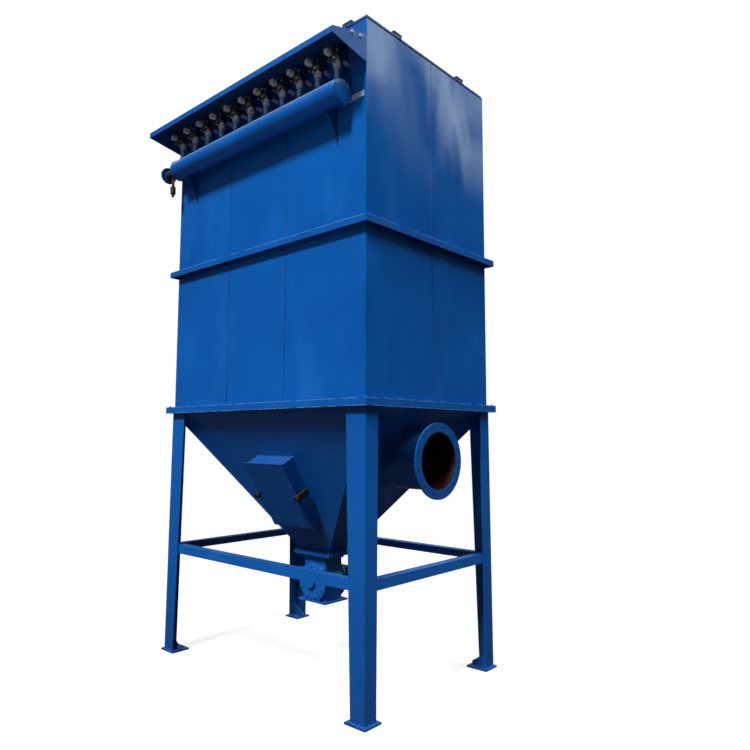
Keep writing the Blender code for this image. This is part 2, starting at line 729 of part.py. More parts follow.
def make_roof(paint):
    z0 = CASING_TOP_Z + SEAT_GAP
    z1 = z0 + DECK_STEEL
    add_object("roof_deck", box((-HALF_W, -HALF_D, z0), (HALF_W, HALF_D, z1)), paint)
    span = (CASING_WIDTH - 2 * LID_BORDER - (LID_COUNT - 1) * LID_GAP) / LID_COUNT
    seat = z1 + SEAT_GAP
    half_y = HALF_D - LID_BORDER
    base = seat + LID_HEIGHT / 2
    for i in range(LID_COUNT):
        start = -HALF_W + LID_BORDER + i * (span + LID_GAP)
        tray = box((start, -half_y, seat), (start + span, half_y, seat + LID_HEIGHT))
        lid = add_object(f"roof_lid_{i + 1}", tray, paint)
        places = [(edge, start + span * share) for share in LID_CLAMP_SHARES for edge in ("front", "back")]
        if i == 0:
            places += [("left", -SIDE_CLAMP_Y), ("left", SIDE_CLAMP_Y)]
        if i == LID_COUNT - 1:
            places += [("right", -SIDE_CLAMP_Y), ("right", SIDE_CLAMP_Y)]
        combine(lid, [lid_clamp(edge, along, base) for edge, along in places], "UNION")


def make_canopy(paint):
    """A lean-to sheet with a turned-down lip and a cheek plate at each end."""
    wall = -HALF_D - SEAT_GAP
    lip = -HALF_D - CANOPY_REACH
    steel = CANOPY_STEEL
    profile = (
        (wall, CANOPY_WALL_Z),
        (lip, CANOPY_LIP_TOP_Z),
        (lip, CANOPY_LIP_BOTTOM_Z),
        (lip + steel, CANOPY_LIP_BOTTOM_Z),
        (lip + steel, CANOPY_LIP_TOP_Z - steel),
        (wall, CANOPY_WALL_Z - steel),
    )
    add_object("canopy_roof", prism(profile, along_x, -HALF_W, HALF_W), paint)
    under = steel + 2 * SEAT_GAP
    inner = lip + steel + SEAT_GAP
    cheek = (
        (wall, CANOPY_WALL_Z - under),
        (inner, CANOPY_LIP_TOP_Z - under),
        (inner, CANOPY_LIP_BOTTOM_Z),
        (wall, CANOPY_CHEEK_BOTTOM_Z),
    )
    add_object("canopy_cheek_left", prism(cheek, along_x, -HALF_W, -HALF_W + steel), paint)
    add_object("canopy_cheek_right", prism(cheek, along_x, HALF_W - steel, HALF_W), paint)


def valve_x(i):
    return (i - (VALVE_COUNT - 1) / 2) * VALVE_PITCH


def make_header(paint, dark):
    """The compressed-air tank, with nearly flat ends and a boss for each valve."""
    radius = HEADER_DIAMETER / 2
    half = HEADER_LENGTH / 2
    profile = []
    for k in range(DISH_STEPS):
        turn = math.pi / 2 * k / DISH_STEPS
        profile.append((radius * math.sin(turn), -half - HEADER_DISH * math.cos(turn)))
    profile.append((radius, -half))
    mirrored = [(r, -z) for r, z in reversed(profile)]
    tank = aimed(turned(profile + mirrored, 32), (1, 0, 0), (0, HEADER_Y, HEADER_Z))
    header = add_object("air_header", tank, paint)
    bosses = []
    for i in range(VALVE_COUNT):
        boss = turned(((BOSS_DIAMETER / 2, 0), (BOSS_DIAMETER / 2, radius + BOSS_HEIGHT)), 16)
        bosses.append(moved(boss, Matrix.Translation((valve_x(i), HEADER_Y, HEADER_Z))))
    combine(header, bosses, "UNION")
    smooth(header, 30)
    make_header_nozzle(half + HEADER_DISH, dark)
    make_header_drain(half + HEADER_DISH, dark)
    for name, sx in (("header_bracket_left", -1), ("header_bracket_right", 1)):
        make_header_bracket(name, sx, paint)
    for name, sx in (("header_tab_left", -1), ("header_tab_right", 1)):
        make_header_tab(name, sx, paint)


def make_header_nozzle(end, dark):
    """The air supply nozzle on the header's left end, with a blank flange."""
    pipe = NOZZLE_DIAMETER / 2
    disc = NOZZLE_FLANGE_DIAMETER / 2
    length = NOZZLE_LENGTH
    steel = NOZZLE_FLANGE_STEEL
    profile = ((pipe, SEAT_GAP), (pipe, length - steel), (disc, length - steel), (disc, length))
    shape = aimed(turned(profile, 20), (-1, 0, 0), (-end, HEADER_Y, HEADER_Z))
    add_object("header_air_nozzle", shape, dark, 30)


def make_header_drain(end, dark):
    """The cock that lets water out of the header, hanging from the nozzle pipe."""
    pipe = DRAIN_PIPE_DIAMETER / 2
    cock = DRAIN_COCK_DIAMETER / 2
    length = DRAIN_LENGTH
    profile = (
        (pipe, SEAT_GAP),
        (pipe, length * 0.45),
        (cock, length * 0.50),
        (cock, length * 0.85),
        (pipe, length * 0.90),
        (pipe, length),
    )
    at = (-end - DRAIN_RUN, HEADER_Y, HEADER_Z - NOZZLE_DIAMETER / 2)
    add_object("header_drain_cock", aimed(turned(profile, 12), (0, 0, -1), at), dark, 30)


def make_header_tab(name, sx, paint):
    """A flat bar on the wall behind one end of the header."""
    wall = -HALF_D - SEAT_GAP
    inner = HALF_W - TAB_EDGE - TAB_LENGTH
    xs = sorted((sx * inner, sx * (HALF_W - TAB_EDGE)))
    low = HEADER_Z - TAB_DROP
    add_object(name, box((xs[0], wall - TAB_STEEL, low), (xs[1], wall, low + TAB_HEIGHT)), paint)


def make_header_bracket(name, sx, paint):
    """A plate bracket welded to the wall, with a saddle that holds the header."""
    x = sx * (HEADER_LENGTH / 2 - BRACKET_INSET)
    wall = -HALF_D - SEAT_GAP
    outline = (
        (wall, BRACKET_BOTTOM_Z),
        (wall, BRACKET_TOP_Z),
        (HEADER_Y, HEADER_Z),
        (HEADER_Y, HEADER_Z - HEADER_DIAMETER / 2 - BRACKET_TOE),
    )
    shape = prism(outline, along_x, x - BRACKET_STEEL / 2, x + BRACKET_STEEL / 2)
    bracket = add_object(name, shape, paint)
    seat = HEADER_DIAMETER / 2 + SEAT_GAP * 2
    round_cut = turned(((seat, -CUT_RUN), (seat, CUT_RUN)), 32)
    combine(bracket, [aimed(round_cut, (1, 0, 0), (x, HEADER_Y, HEADER_Z))], "DIFFERENCE")


def valve_lugs(face):
    """Bolt lugs round the cover, standing a little in front of it."""
    lugs = []
    for k in range(VALVE_LUG_COUNT):
        turn = 2 * math.pi * (k + 0.5) / VALVE_LUG_COUNT
        x = VALVE_COVER_DIAMETER / 2 * math.cos(turn)
        z = VALVE_RISE + VALVE_COVER_DIAMETER / 2 * math.sin(turn)
        low = face - VALVE_COVER_STEEL + LUG_STEP
        lug = turned(((VALVE_LUG_DIAMETER / 2, low), (VALVE_LUG_DIAMETER / 2, face + LUG_STEP)), 8)
        lugs.append(aimed(lug, (0, -1, 0), (x, 0, z)))
    return lugs


def valve_mesh(metal):
    """One right-angle valve about the top of its boss: pipe up, bowl out, blow pipe back to the wall."""
    pipe = VALVE_PIPE_DIAMETER / 2
    rise = VALVE_RISE
    back = HEADER_STANDOFF - SEAT_GAP
    riser = turned(((pipe, SEAT_GAP), (pipe, rise)), 12)
    valve = add_object("valve", riser, metal)
    nut = moved(turned(((NUT_SIZE / 2, 0), (NUT_SIZE / 2, NUT_HEIGHT)), 6),
                Matrix.Translation((0, 0, rise - VALVE_BODY_DIAMETER / 2 - NUT_HEIGHT + NUT_BITE)))
    bowl = VALVE_BODY_DIAMETER / 2
    cover = VALVE_COVER_DIAMETER / 2
    front = VALVE_BODY_LENGTH / 2
    steel = VALVE_COVER_STEEL
    dome = front + steel + VALVE_DOME
    profile = (
        (pipe, -back),
        (pipe, -bowl - VALVE_SHOULDER),
        (bowl * 0.8, -bowl),
        (bowl, -bowl + VALVE_SHOULDER),
        (bowl, front - VALVE_SHOULDER),
        (cover, front),
        (cover, front + steel),
        (cover * 0.72, front + steel),
        (cover * 0.50, dome),
        (PILOT_DIAMETER / 2, dome),
        (PILOT_DIAMETER / 2, dome + PILOT_LENGTH + COIL_LENGTH / 2),
    )
    body = aimed(turned(profile, 16), (0, -1, 0), (0, 0, rise))
    half = COIL_SIZE / 2
    coil = box((-half, -VALVE_REACH, rise - half), (half, COIL_LENGTH - VALVE_REACH, rise + half))
    combine(valve, [nut, body, coil] + valve_lugs(front + steel), "UNION")
    smooth(valve, 30)
    mesh = valve.data
    bpy.data.objects.remove(valve, do_unlink=True)
    return mesh


def make_valves(metal):
    mesh = valve_mesh(metal)
    seat = HEADER_Z + HEADER_DIAMETER / 2 + BOSS_HEIGHT
    for i in range(VALVE_COUNT):
        valve = bpy.data.objects.new(f"pulse_valve_{i + 1:02d}", mesh)
        valve.location = (valve_x(i), HEADER_Y, seat)
        bpy.context.scene.collection.objects.link(valve)


def carry_to_origin():
    """Hang every piece on one empty, placed so that the machine stands centred on the origin."""
    pieces = list(bpy.context.scene.objects)
    points = [item.matrix_basis @ vertex.co for item in pieces for vertex in item.data.vertices]
    carrier = bpy.data.objects.new("collector", None)
    bpy.context.scene.collection.objects.link(carrier)
    for item in pieces:
        item.parent = carrier
    across = [point.x for point in points]
    deep = [point.y for point in points]
    carrier.location = (-(min(across) + max(across)) / 2, -(min(deep) + max(deep)) / 2, 0)


def main():
    clear_scene()
    paint = material("blue_paint", (0.010, 0.110, 0.420), 0.40, 0.0)
    hopper_paint = material("blue_paint_hopper", (0.008, 0.075, 0.300), 0.45, 0.0)
    dark = material("dark_steel", (0.030, 0.030, 0.035), 0.50, 0.6)
    valve_metal = material("valve_casting", (0.090, 0.095, 0.100), 0.38, 0.7)
    make_ring_beam(paint)
    make_casing(paint)
    make_girt(paint)
    make_hopper(hopper_paint)
    make_outlet_flange(paint)
    make_rotary_valve(paint, dark)
    make_inlet(paint)
    make_clean_outlet(paint)
    make_hatch(hopper_paint, dark)
    for name, sx, sy in (
        ("leg_front_left", -1, -1),
        ("leg_front_right", 1, -1),
        ("leg_back_right", 1, 1),
        ("leg_back_left", -1, 1),
    ):
        make_leg(name, sx, sy, paint)
    make_braces(paint)
    make_roof(paint)
    make_canopy(paint)
    make_header(paint, dark)
    make_valves(valve_metal)
    carry_to_origin()


main()
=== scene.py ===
# %% [markdown]
# # A pulse-jet dust collector in blue enamel
# The real machine cleans dusty air. Air comes in through the round duct on the hopper,
# leaves its dust on filter bags in the tall casing and goes out at the back. A tank of
# compressed air runs along the front, and eleven valves on it fire short pulses that
# knock the dust off the bags, so that it falls into the hopper. The main steel plates
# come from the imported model, which is loaded here as a fixed frame.

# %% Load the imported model
import math

import bmesh
import bpy
from mathutils import Matrix, Vector


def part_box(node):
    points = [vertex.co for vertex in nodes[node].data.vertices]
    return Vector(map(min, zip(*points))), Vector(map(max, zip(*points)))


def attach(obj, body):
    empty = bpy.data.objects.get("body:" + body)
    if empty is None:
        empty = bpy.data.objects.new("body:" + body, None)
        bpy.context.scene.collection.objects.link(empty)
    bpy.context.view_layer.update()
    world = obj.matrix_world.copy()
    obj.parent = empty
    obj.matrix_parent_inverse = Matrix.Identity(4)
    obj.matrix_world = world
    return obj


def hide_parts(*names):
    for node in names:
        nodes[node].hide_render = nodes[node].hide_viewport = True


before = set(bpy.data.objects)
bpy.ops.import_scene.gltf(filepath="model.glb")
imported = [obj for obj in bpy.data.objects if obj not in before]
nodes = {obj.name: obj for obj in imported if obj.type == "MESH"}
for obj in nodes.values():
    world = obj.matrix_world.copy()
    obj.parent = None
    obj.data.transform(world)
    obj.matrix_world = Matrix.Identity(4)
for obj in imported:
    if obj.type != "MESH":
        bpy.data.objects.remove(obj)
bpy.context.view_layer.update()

# %% [markdown]
# ## Where the main faces are
# Every added piece has to sit on the steel that carries it. The places are therefore read
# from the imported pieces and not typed, so that a bolt follows its flange.

# %% Read the places of the main pieces
wall_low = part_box("casing_front")[0]
wall_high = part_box("casing_back")[1]
MID_Y = (wall_low.y + wall_high.y) / 2
HALF_W = (wall_high.x - wall_low.x) / 2
HALF_D = (wall_high.y - wall_low.y) / 2
WALL_TOP = wall_high.z
WALL_FOOT = wall_low.z
beam_low, beam_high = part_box("ring_beam")
girt_low, girt_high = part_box("casing_girt")
flange_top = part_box("hopper_outlet_flange")[1].z
print("casing", round(2 * HALF_W, 3), "by", round(2 * HALF_D, 3), "top at", round(WALL_TOP, 3))

# %% [markdown]
# ## Wiring nodes
# Materials, the sky and the trees that make bolts and welds are all networks of nodes.
# They could be drawn by hand in the editor. Built in a script they can be read, repeated
# and changed in one place, and a few short helpers keep each of them to a few lines.

# %% A small helper to wire nodes


class Wiring:
    """Adds nodes to a tree. A value may be a number, a colour or the output of another node."""

    def __init__(self, tree):
        self.tree = tree

    def put(self, value, socket):
        if isinstance(value, bpy.types.NodeSocket):
            self.tree.links.new(value, socket)
        elif socket.type == "RGBA":
            socket.default_value = (*value, 1.0)
        else:
            socket.default_value = value

    def node(self, kind, values=None, **settings):
        made = self.tree.nodes.new(kind)
        for key, value in settings.items():
            setattr(made, key, value)
        for key, value in (values or {}).items():
            self.put(value, made.inputs[key])
        return made

    def math(self, operation, first, second=0.0, clamp=False):
        settings = {"operation": operation, "use_clamp": clamp}
        return self.node("ShaderNodeMath", {0: first, 1: second}, **settings).outputs[0]

    def vector(self, operation, first, second=(0.0, 0.0, 0.0)):
        return self.node("ShaderNodeVectorMath", {0: first, 1: second}, operation=operation).outputs

    def times(self, first, *others):
        for other in others:
            first = self.math("MULTIPLY", first, other)
        return first

    def apart(self, vector):
        """The X, Y and Z of a vector."""
        return self.node("ShaderNodeSeparateXYZ", {0: vector}).outputs

    def noise(self, where, scale, detail=3.0, roughness=0.5):
        values = {"Vector": where, "Scale": scale, "Detail": detail, "Roughness": roughness}
        return self.node("ShaderNodeTexNoise", values).outputs["Fac"]

    def span(self, value, low, high, to_low=0.0, to_high=1.0):
        """Map a range of values to another range and stop at its ends."""
        values = {
            "Value": value, "From Min": low, "From Max": high, "To Min": to_low, "To Max": to_high
        }
        return self.node("ShaderNodeMapRange", values).outputs["Result"]

    def blend(self, share, first, second):
        """Mix two colours."""
        values = {"Factor": share, 6: first, 7: second}
        return self.node("ShaderNodeMix", values, data_type="RGBA").outputs[2]


class Recipe(Wiring):
    """One material, with the object's coordinates as where and place and its normal as facing."""

    def __init__(self, name):
        self.material = bpy.data.materials.new(name)
        self.material.use_nodes = True
        super().__init__(self.material.node_tree)
        self.shader = self.tree.nodes["Principled BSDF"].inputs
        self.where = self.node("ShaderNodeTexCoord").outputs["Object"]
        self.place = self.apart(self.where)
        self.facing = self.apart(self.node("ShaderNodeNewGeometry").outputs["Normal"])

    def stretched(self, scale):
        """Object coordinates with each axis scaled on its own, for streaks and long waves."""
        values = {"Vector": self.where, "Scale": scale}
        return self.node("ShaderNodeMapping", values).outputs["Vector"]

    def tone(self, scale=38.0):
        """A mottled share of a lighter colour."""
        return self.span(self.noise(self.where, scale, 5.0, 0.6), 0.30, 0.70)

    def bump(self, height, strength, distance, over=None, invert=False):
        values = {"Height": height, "Strength": strength, "Distance": distance}
        if over is not None:
            values["Normal"] = over
        return self.node("ShaderNodeBump", values, invert=invert).outputs["Normal"]

    def grain(self, scale, strength, distance):
        """Fine grain all over the surface."""
        height = self.noise(self.where, scale, 3.0, 0.6)
        self.put(self.bump(height, strength, distance), self.shader["Normal"])

    def tint(self, share, colour, rougher):
        """Lay another colour over the finish where a share says so, and make it rougher there."""
        old = self.shader["Base Color"].links[0].from_socket
        self.put(self.blend(share, old, colour), self.shader["Base Color"])
        sheen = self.shader["Roughness"].links[0].from_socket
        rough = self.math("ADD", sheen, self.times(share, rougher), clamp=True)
        self.put(rough, self.shader["Roughness"])
        return self.material


print("node helpers ready")

# %% [markdown]
# ## Blue enamel
# The casing is sprayed with a glossy blue enamel. Three things make it look real. The
# thin sheet is not flat, so reflections waver. The paint differs a little from place to
# place. Dust lies in a thin film, more of it low down and on faces that look up.
# One recipe makes all the blue finishes, and only its colours and amounts change.

# %% Make the enamel recipe
GRIME = (0.060, 0.075, 0.085)
DUST = (0.085, 0.083, 0.078)
RUST_DARK, RUST_PALE = (0.085, 0.028, 0.012), (0.24, 0.085, 0.030)
ENAMEL_IOR = 1.48


def enamel(name, base, pale, deep, roughness, waviness, dirt, rust):
    """Glossy sprayed paint: a base colour, a paler and a deeper patch colour, dirt and rust."""
    paint = Recipe(name)
    where, noise, span = paint.where, paint.noise, paint.span
    times, blend = paint.times, paint.blend
    colour = blend(span(noise(where, 1.6, 4.0, 0.55), 0.35, 0.70), deep, base)
    cloudy = span(noise(paint.stretched((1.0, 1.0, 0.35)), 3.0, 6.0, 0.6), 0.52, 0.80, 0.0, 0.5)
    colour = blend(cloudy, colour, pale)
    streaks = span(noise(paint.stretched((14.0, 14.0, 0.55)), 2.2, 5.0, 0.6), 0.56, 0.74)
    streaks = times(streaks, span(noise(where, 1.1, 2.0), 0.42, 0.62), 0.35 * dirt)
    colour = blend(streaks, colour, GRIME)
    film = span(paint.facing["Z"], 0.25, 0.95, 0.0, 0.55 * dirt)
    film = times(film, span(noise(where, 9.0, 6.0, 0.65), 0.30, 0.65))
    low = span(paint.place["Z"], 0.02, 0.42, 0.40 * dirt, 0.0)
    low = times(low, span(noise(where, 22.0, 5.0, 0.7), 0.35, 0.68))
    dust = paint.math("MAXIMUM", film, low)
    colour = blend(dust, colour, DUST)
    chips = span(noise(where, 46.0, 4.0, 0.62), 0.735 - 0.05 * rust, 0.760 - 0.05 * rust)
    chips = times(chips, span(noise(where, 3.1, 2.0), 0.50, 0.62), min(1.0, rust))
    rusty = blend(noise(where, 90.0, 3.0), RUST_DARK, RUST_PALE)
    paint.put(blend(chips, colour, rusty), paint.shader["Base Color"])
    gloss = span(noise(where, 6.0, 4.0, 0.6), 0.30, 0.75, roughness, roughness * 1.5)
    gloss = paint.math("ADD", gloss, times(dust, 0.45))
    gloss = paint.math("ADD", gloss, times(chips, 0.45), clamp=True)
    paint.put(gloss, paint.shader["Roughness"])
    paint.put(ENAMEL_IOR, paint.shader["IOR"])
    sheet = paint.bump(noise(paint.stretched((1.9, 1.9, 0.8)), 1.3, 2.0, 0.4), waviness, 0.035)
    peel = paint.bump(noise(where, 240.0, 2.0, 0.5), 0.03, 0.0012, over=sheet)
    flake = paint.bump(chips, 0.45, 0.0008, over=peel, invert=True)
    paint.put(flake, paint.shader["Normal"])
    return paint


# %% Spray the main blue finishes
CASING_BLUES = (0.0040, 0.105, 0.420), (0.018, 0.160, 0.520), (0.003, 0.082, 0.345)
HOPPER_BLUES = (0.0035, 0.092, 0.370), (0.006, 0.105, 0.400), (0.003, 0.074, 0.310)
FRAME_BLUES = (0.0040, 0.102, 0.410), (0.010, 0.130, 0.460), (0.003, 0.082, 0.340)
INLET_BLUES = (0.0031, 0.075, 0.305), (0.007, 0.092, 0.345), (0.003, 0.062, 0.255)
# Darker blue for the sheet seams; on the header's brackets the same darker blue is painted shade.
SEAM_AND_SHADE_BLUES = (0.0025, 0.055, 0.235), (0.006, 0.080, 0.300), (0.002, 0.040, 0.170)


def frame_paint(name, dirt=0.4):
    """The satin blue of the frame, the flanges and the fittings."""
    return enamel(name, *FRAME_BLUES, 0.20, 0.03, dirt, 0.12)


# After the blues come roughness, waviness, dirt and rust.
casing_enamel = enamel("casing_enamel", *CASING_BLUES, 0.055, 0.10, 0.30, 0.2).material
frame_enamel = frame_paint("frame_enamel").material
hopper_enamel = enamel("hopper_enamel", *HOPPER_BLUES, 0.24, 0.08, 0.30, 0.08).material
seam_enamel = enamel("seam_enamel", *SEAM_AND_SHADE_BLUES, 0.42, 0.0, 0.3, 0.2).material
print("blue finishes:", casing_enamel.name, frame_enamel.name, hopper_enamel.name, seam_enamel.name)

# %% [markdown]
# ## Iron, zinc, plastic and rubber
# The knobs of the hatch and the drive are dark iron with rust. Nuts and screws are plated
# with zinc: bright where they are new, dull and bluish where they have stood in the rain.
# The header's tabs take the same dull bluish zinc, and its pale colour on them is a
# painted highlight in the canopy's shadow.
# The valves' coils are moulded in pale plastic, and their cable glands are black.
# Plain colours would look like toys, so every finish has a mottled tone and a fine grain.

# %% Make the iron and the plated steel


def metal(name, low, high, roughness, metallic, grain, rust):
    """A cast or plated metal with grain and a share of rust."""
    recipe = Recipe(name)
    where, noise, span = recipe.where, recipe.noise, recipe.span
    times, blend = recipe.times, recipe.blend
    tone = recipe.tone()
    spots = noise(where, 30.0, 5.0, 0.65)
    spots = span(spots, 0.66 - 0.16 * rust, 0.76 - 0.16 * rust)
    spots = times(spots, min(1.0, rust * 2.0))
    rusty = noise(where, 120.0, 3.0)
    rusty = blend(rusty, (0.070, 0.022, 0.010), (0.26, 0.090, 0.032))
    colour = blend(spots, blend(tone, low, high), rusty)
    recipe.put(colour, recipe.shader["Base Color"])
    bare = recipe.math("SUBTRACT", 1.0, spots)
    recipe.put(times(bare, metallic), recipe.shader["Metallic"])
    rough = span(tone, 0.0, 1.0, roughness, roughness + 0.15)
    rough = recipe.math("ADD", rough, times(spots, 0.40), clamp=True)
    recipe.put(rough, recipe.shader["Roughness"])
    recipe.grain(grain, 0.35, 0.0006)
    return recipe.material


# After the two tones come roughness, metal share, grain scale and rust.
dark_iron = metal(
    "dark_iron", (0.020, 0.021, 0.023), (0.055, 0.055, 0.058), 0.42, 0.55, 420.0, 0.55
)
bright_steel = metal("bright_steel", (0.42, 0.42, 0.41), (0.62, 0.62, 0.60), 0.24, 0.95, 700.0, 0.1)
rusty_steel = metal(
    "rusty_steel", (0.010, 0.007, 0.006), (0.026, 0.015, 0.011), 0.60, 0.30, 300.0, 0.22
)
zinc_plate = metal("zinc_plate", (0.55, 0.56, 0.58), (0.80, 0.81, 0.82), 0.26, 0.30, 500.0, 0.1)
# On the header's tabs this pale finish is a painted highlight; on the cheek bolts it is dull zinc.
dull_zinc = metal("dull_zinc", (0.26, 0.33, 0.44), (0.42, 0.52, 0.66), 0.42, 0.12, 400.0, 0.1)
print("five metals, from", dark_iron.name, "to", dull_zinc.name)

# %% Make the plastics and the rubber


def moulded(name, low, high, roughness, grain):
    """Moulded plastic or rubber with a faint grain and dust."""
    recipe = Recipe(name)
    tone = recipe.tone(60.0)
    dust = recipe.span(recipe.noise(recipe.where, 14.0, 4.0, 0.6), 0.52, 0.72, 0.0, 0.25)
    colour = recipe.blend(dust, recipe.blend(tone, low, high), (0.10, 0.10, 0.095))
    recipe.put(colour, recipe.shader["Base Color"])
    recipe.put(recipe.span(tone, 0.0, 1.0, roughness, roughness + 0.12), recipe.shader["Roughness"])
    recipe.grain(grain, 0.25, 0.0005)
    return recipe.material


# After the two tones come roughness and grain scale.
black_plastic = moulded("black_plastic", (0.010, 0.010, 0.011), (0.024, 0.024, 0.026), 0.34, 600.0)
pale_plastic = moulded("pale_plastic", (0.34, 0.35, 0.37), (0.54, 0.56, 0.58), 0.32, 600.0)
black_rubber = moulded("black_rubber", (0.007, 0.007, 0.008), (0.018, 0.018, 0.018), 0.62, 300.0)
print("plastics:", black_plastic.name, pale_plastic.name, black_rubber.name)

# %% [markdown]
# ## Finishes of two kinds on one piece
# Some pieces carry two finishes. The inlet's bore shows dark red primer where the blue
# spray did not reach. Edges of the beam and the girt carry pale dashes, partly worn paint
# and partly a painted highlight. The roof's clamps are black, the nozzle's pipe is rusty,
# the legs are darker towards the ground, the canopy's underside carries painted shade, and
# the top of the header carries a painted highlight, brightest on its right rim. The pieces
# could be cut in two, but a share that is read from the place or the direction of the
# surface lays one finish over the other in the same material.

# %% Prime the bore of the inlet
duct_low, duct_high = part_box("inlet_duct")
INLET_Z = (duct_low.z + duct_high.z) / 2
PRIMED_RADIUS = 0.190


def primed_bore(name):
    """Blue enamel outside, and dark red primer with rust inside the inlet's round bore."""
    paint = enamel(name, *INLET_BLUES, 0.24, 0.03, 0.4, 0.2)
    offset = paint.vector("ADD", paint.where, (0.0, -MID_Y, -INLET_Z))[0]
    flat = paint.vector("MULTIPLY", offset, (0.0, 1.0, 1.0))[0]
    ragged = paint.span(paint.noise(paint.where, 30.0, 4.0, 0.6), 0.3, 0.7, -0.0015, 0.0015)
    edge = paint.math("ADD", paint.vector("LENGTH", flat)["Value"], ragged)
    inside = paint.span(edge, PRIMED_RADIUS + 0.0008, PRIMED_RADIUS + 0.0026, 1.0, 0.0)
    primer = paint.noise(paint.where, 26.0, 5.0, 0.65)
    primer = paint.blend(primer, (0.003, 0.001, 0.001), (0.026, 0.003, 0.002))
    return paint.tint(inside, primer, 0.15)


inlet_enamel = primed_bore("inlet_enamel")
print("primer inside", PRIMED_RADIUS, "m of the duct's axis")

# %% Wear the edges of the beam and the girt, with a painted highlight along them


def worn_and_highlit_edges(name, heights):
    """Blue enamel with pale dashes along level edges at the given heights: partly worn paint,
    partly a painted highlight.
    """
    paint = frame_paint(name)
    edge_wear_and_highlight = 0.0
    for height in heights:
        away = paint.math("ABSOLUTE", paint.math("SUBTRACT", paint.place["Z"], height))
        edge_wear_and_highlight = paint.math("MAXIMUM", edge_wear_and_highlight, paint.span(away, 0.0025, 0.0065, 1.0, 0.0))
    upright = paint.span(paint.math("ABSOLUTE", paint.facing["Z"]), 0.5, 0.9, 0.62, 0.0)
    dashes = paint.span(paint.noise(paint.where, 17.0, 3.0, 0.6), 0.38, 0.52)
    # The pale dashes are partly worn paint and partly a painted highlight on the edges.
    return paint.tint(paint.times(upright, dashes, edge_wear_and_highlight), (0.12, 0.28, 0.56), 0.10)


beam_enamel = worn_and_highlit_edges("beam_enamel", (beam_low.z, beam_high.z))
girt_enamel = worn_and_highlit_edges("girt_enamel", (girt_high.z,))
print("worn edges:", beam_enamel.name, girt_enamel.name)

# %% Paint the lids, the nozzle, the canopy, the legs and the header
CLAMP_HEIGHT = 0.022
LID_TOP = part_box("roof_lid_1")[1].z - CLAMP_HEIGHT
paint = frame_paint("lid_enamel", 0.9)
clamps = paint.span(paint.place["Z"], LID_TOP + 0.001, LID_TOP + 0.002)
lid_enamel = paint.tint(clamps, (0.020, 0.022, 0.026), 0.25)

NOZZLE_FLANGE = 0.014
nozzle_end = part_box("header_air_nozzle")[0].x + NOZZLE_FLANGE
paint = frame_paint("nozzle_enamel")
pipe = paint.span(paint.place["X"], nozzle_end + 0.0002, nozzle_end + 0.0008)
pipe_rust = paint.noise(paint.where, 55.0, 5.0, 0.6)
pipe_rust = paint.blend(pipe_rust, (0.012, 0.007, 0.006), (0.045, 0.020, 0.012))
nozzle_enamel = paint.tint(pipe, pipe_rust, 0.35)

paint = frame_paint("canopy_enamel", 0.8)
# Painted shade: faces that look down, the canopy's underside, are made darker.
underside_shade = paint.span(paint.facing["Z"], -0.75, -0.45, 0.75, 0.0)
canopy_enamel = paint.tint(underside_shade, (0.020, 0.055, 0.125), 0.25)

paint = frame_paint("leg_enamel")
# The legs are made darker towards the ground.
darker_low_down = paint.span(paint.place["Z"], 0.05, 1.45, 0.52, 0.0)
leg_enamel = paint.tint(darker_low_down, (0.001, 0.026, 0.110), 0.04)

header_low, header_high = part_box("air_header")
paint = enamel("header_enamel", *CASING_BLUES, 0.12, 0.02, 0.3, 0.2)
# Painted highlight: faces of the header that look up are made paler.
top_highlight = paint.span(paint.facing["Z"], 0.22, 0.80, 0.0, 0.75)
paint.tint(top_highlight, (0.26, 0.46, 0.84), 0.10)
# Painted highlight: a pale band on the top side of the header's right rim.
rim = paint.span(paint.place["X"], header_high.x - 0.020, header_high.x - 0.014)
top_side = paint.span(paint.facing["Z"], 0.05, 0.30, 0.0, 0.85)
header_enamel = paint.tint(paint.times(rim, top_side), (0.60, 0.72, 0.86), 0.15)
print("two-part finishes, from", lid_enamel.name, "to", header_enamel.name)

# %% [markdown]
# ## The valves' own finish
# One valve is made of several materials: a painted pipe, a bright nut, a dark grey casting
# and a pale plastic pilot. All the valves stand in one row, so a height or a depth in the
# row tells which is which, and one finish can serve them all.

# %% Make the finish of the valves
valve_low, valve_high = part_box("pulse_valve_01")
VALVE_Z = valve_high.z - 0.056
VALVE_PIPE_TOP = VALVE_Z - 0.031 - 0.014
VALVE_NUT_TOP = VALVE_Z - 0.026
VALVE_COIL_BACK = valve_low.y + 0.042
VALVE_NUT_FRONT = valve_low.y + 0.070
VALVE_BOWL_BACK = valve_low.y + 0.102 + 0.040
SOFT_EDGE = 0.001


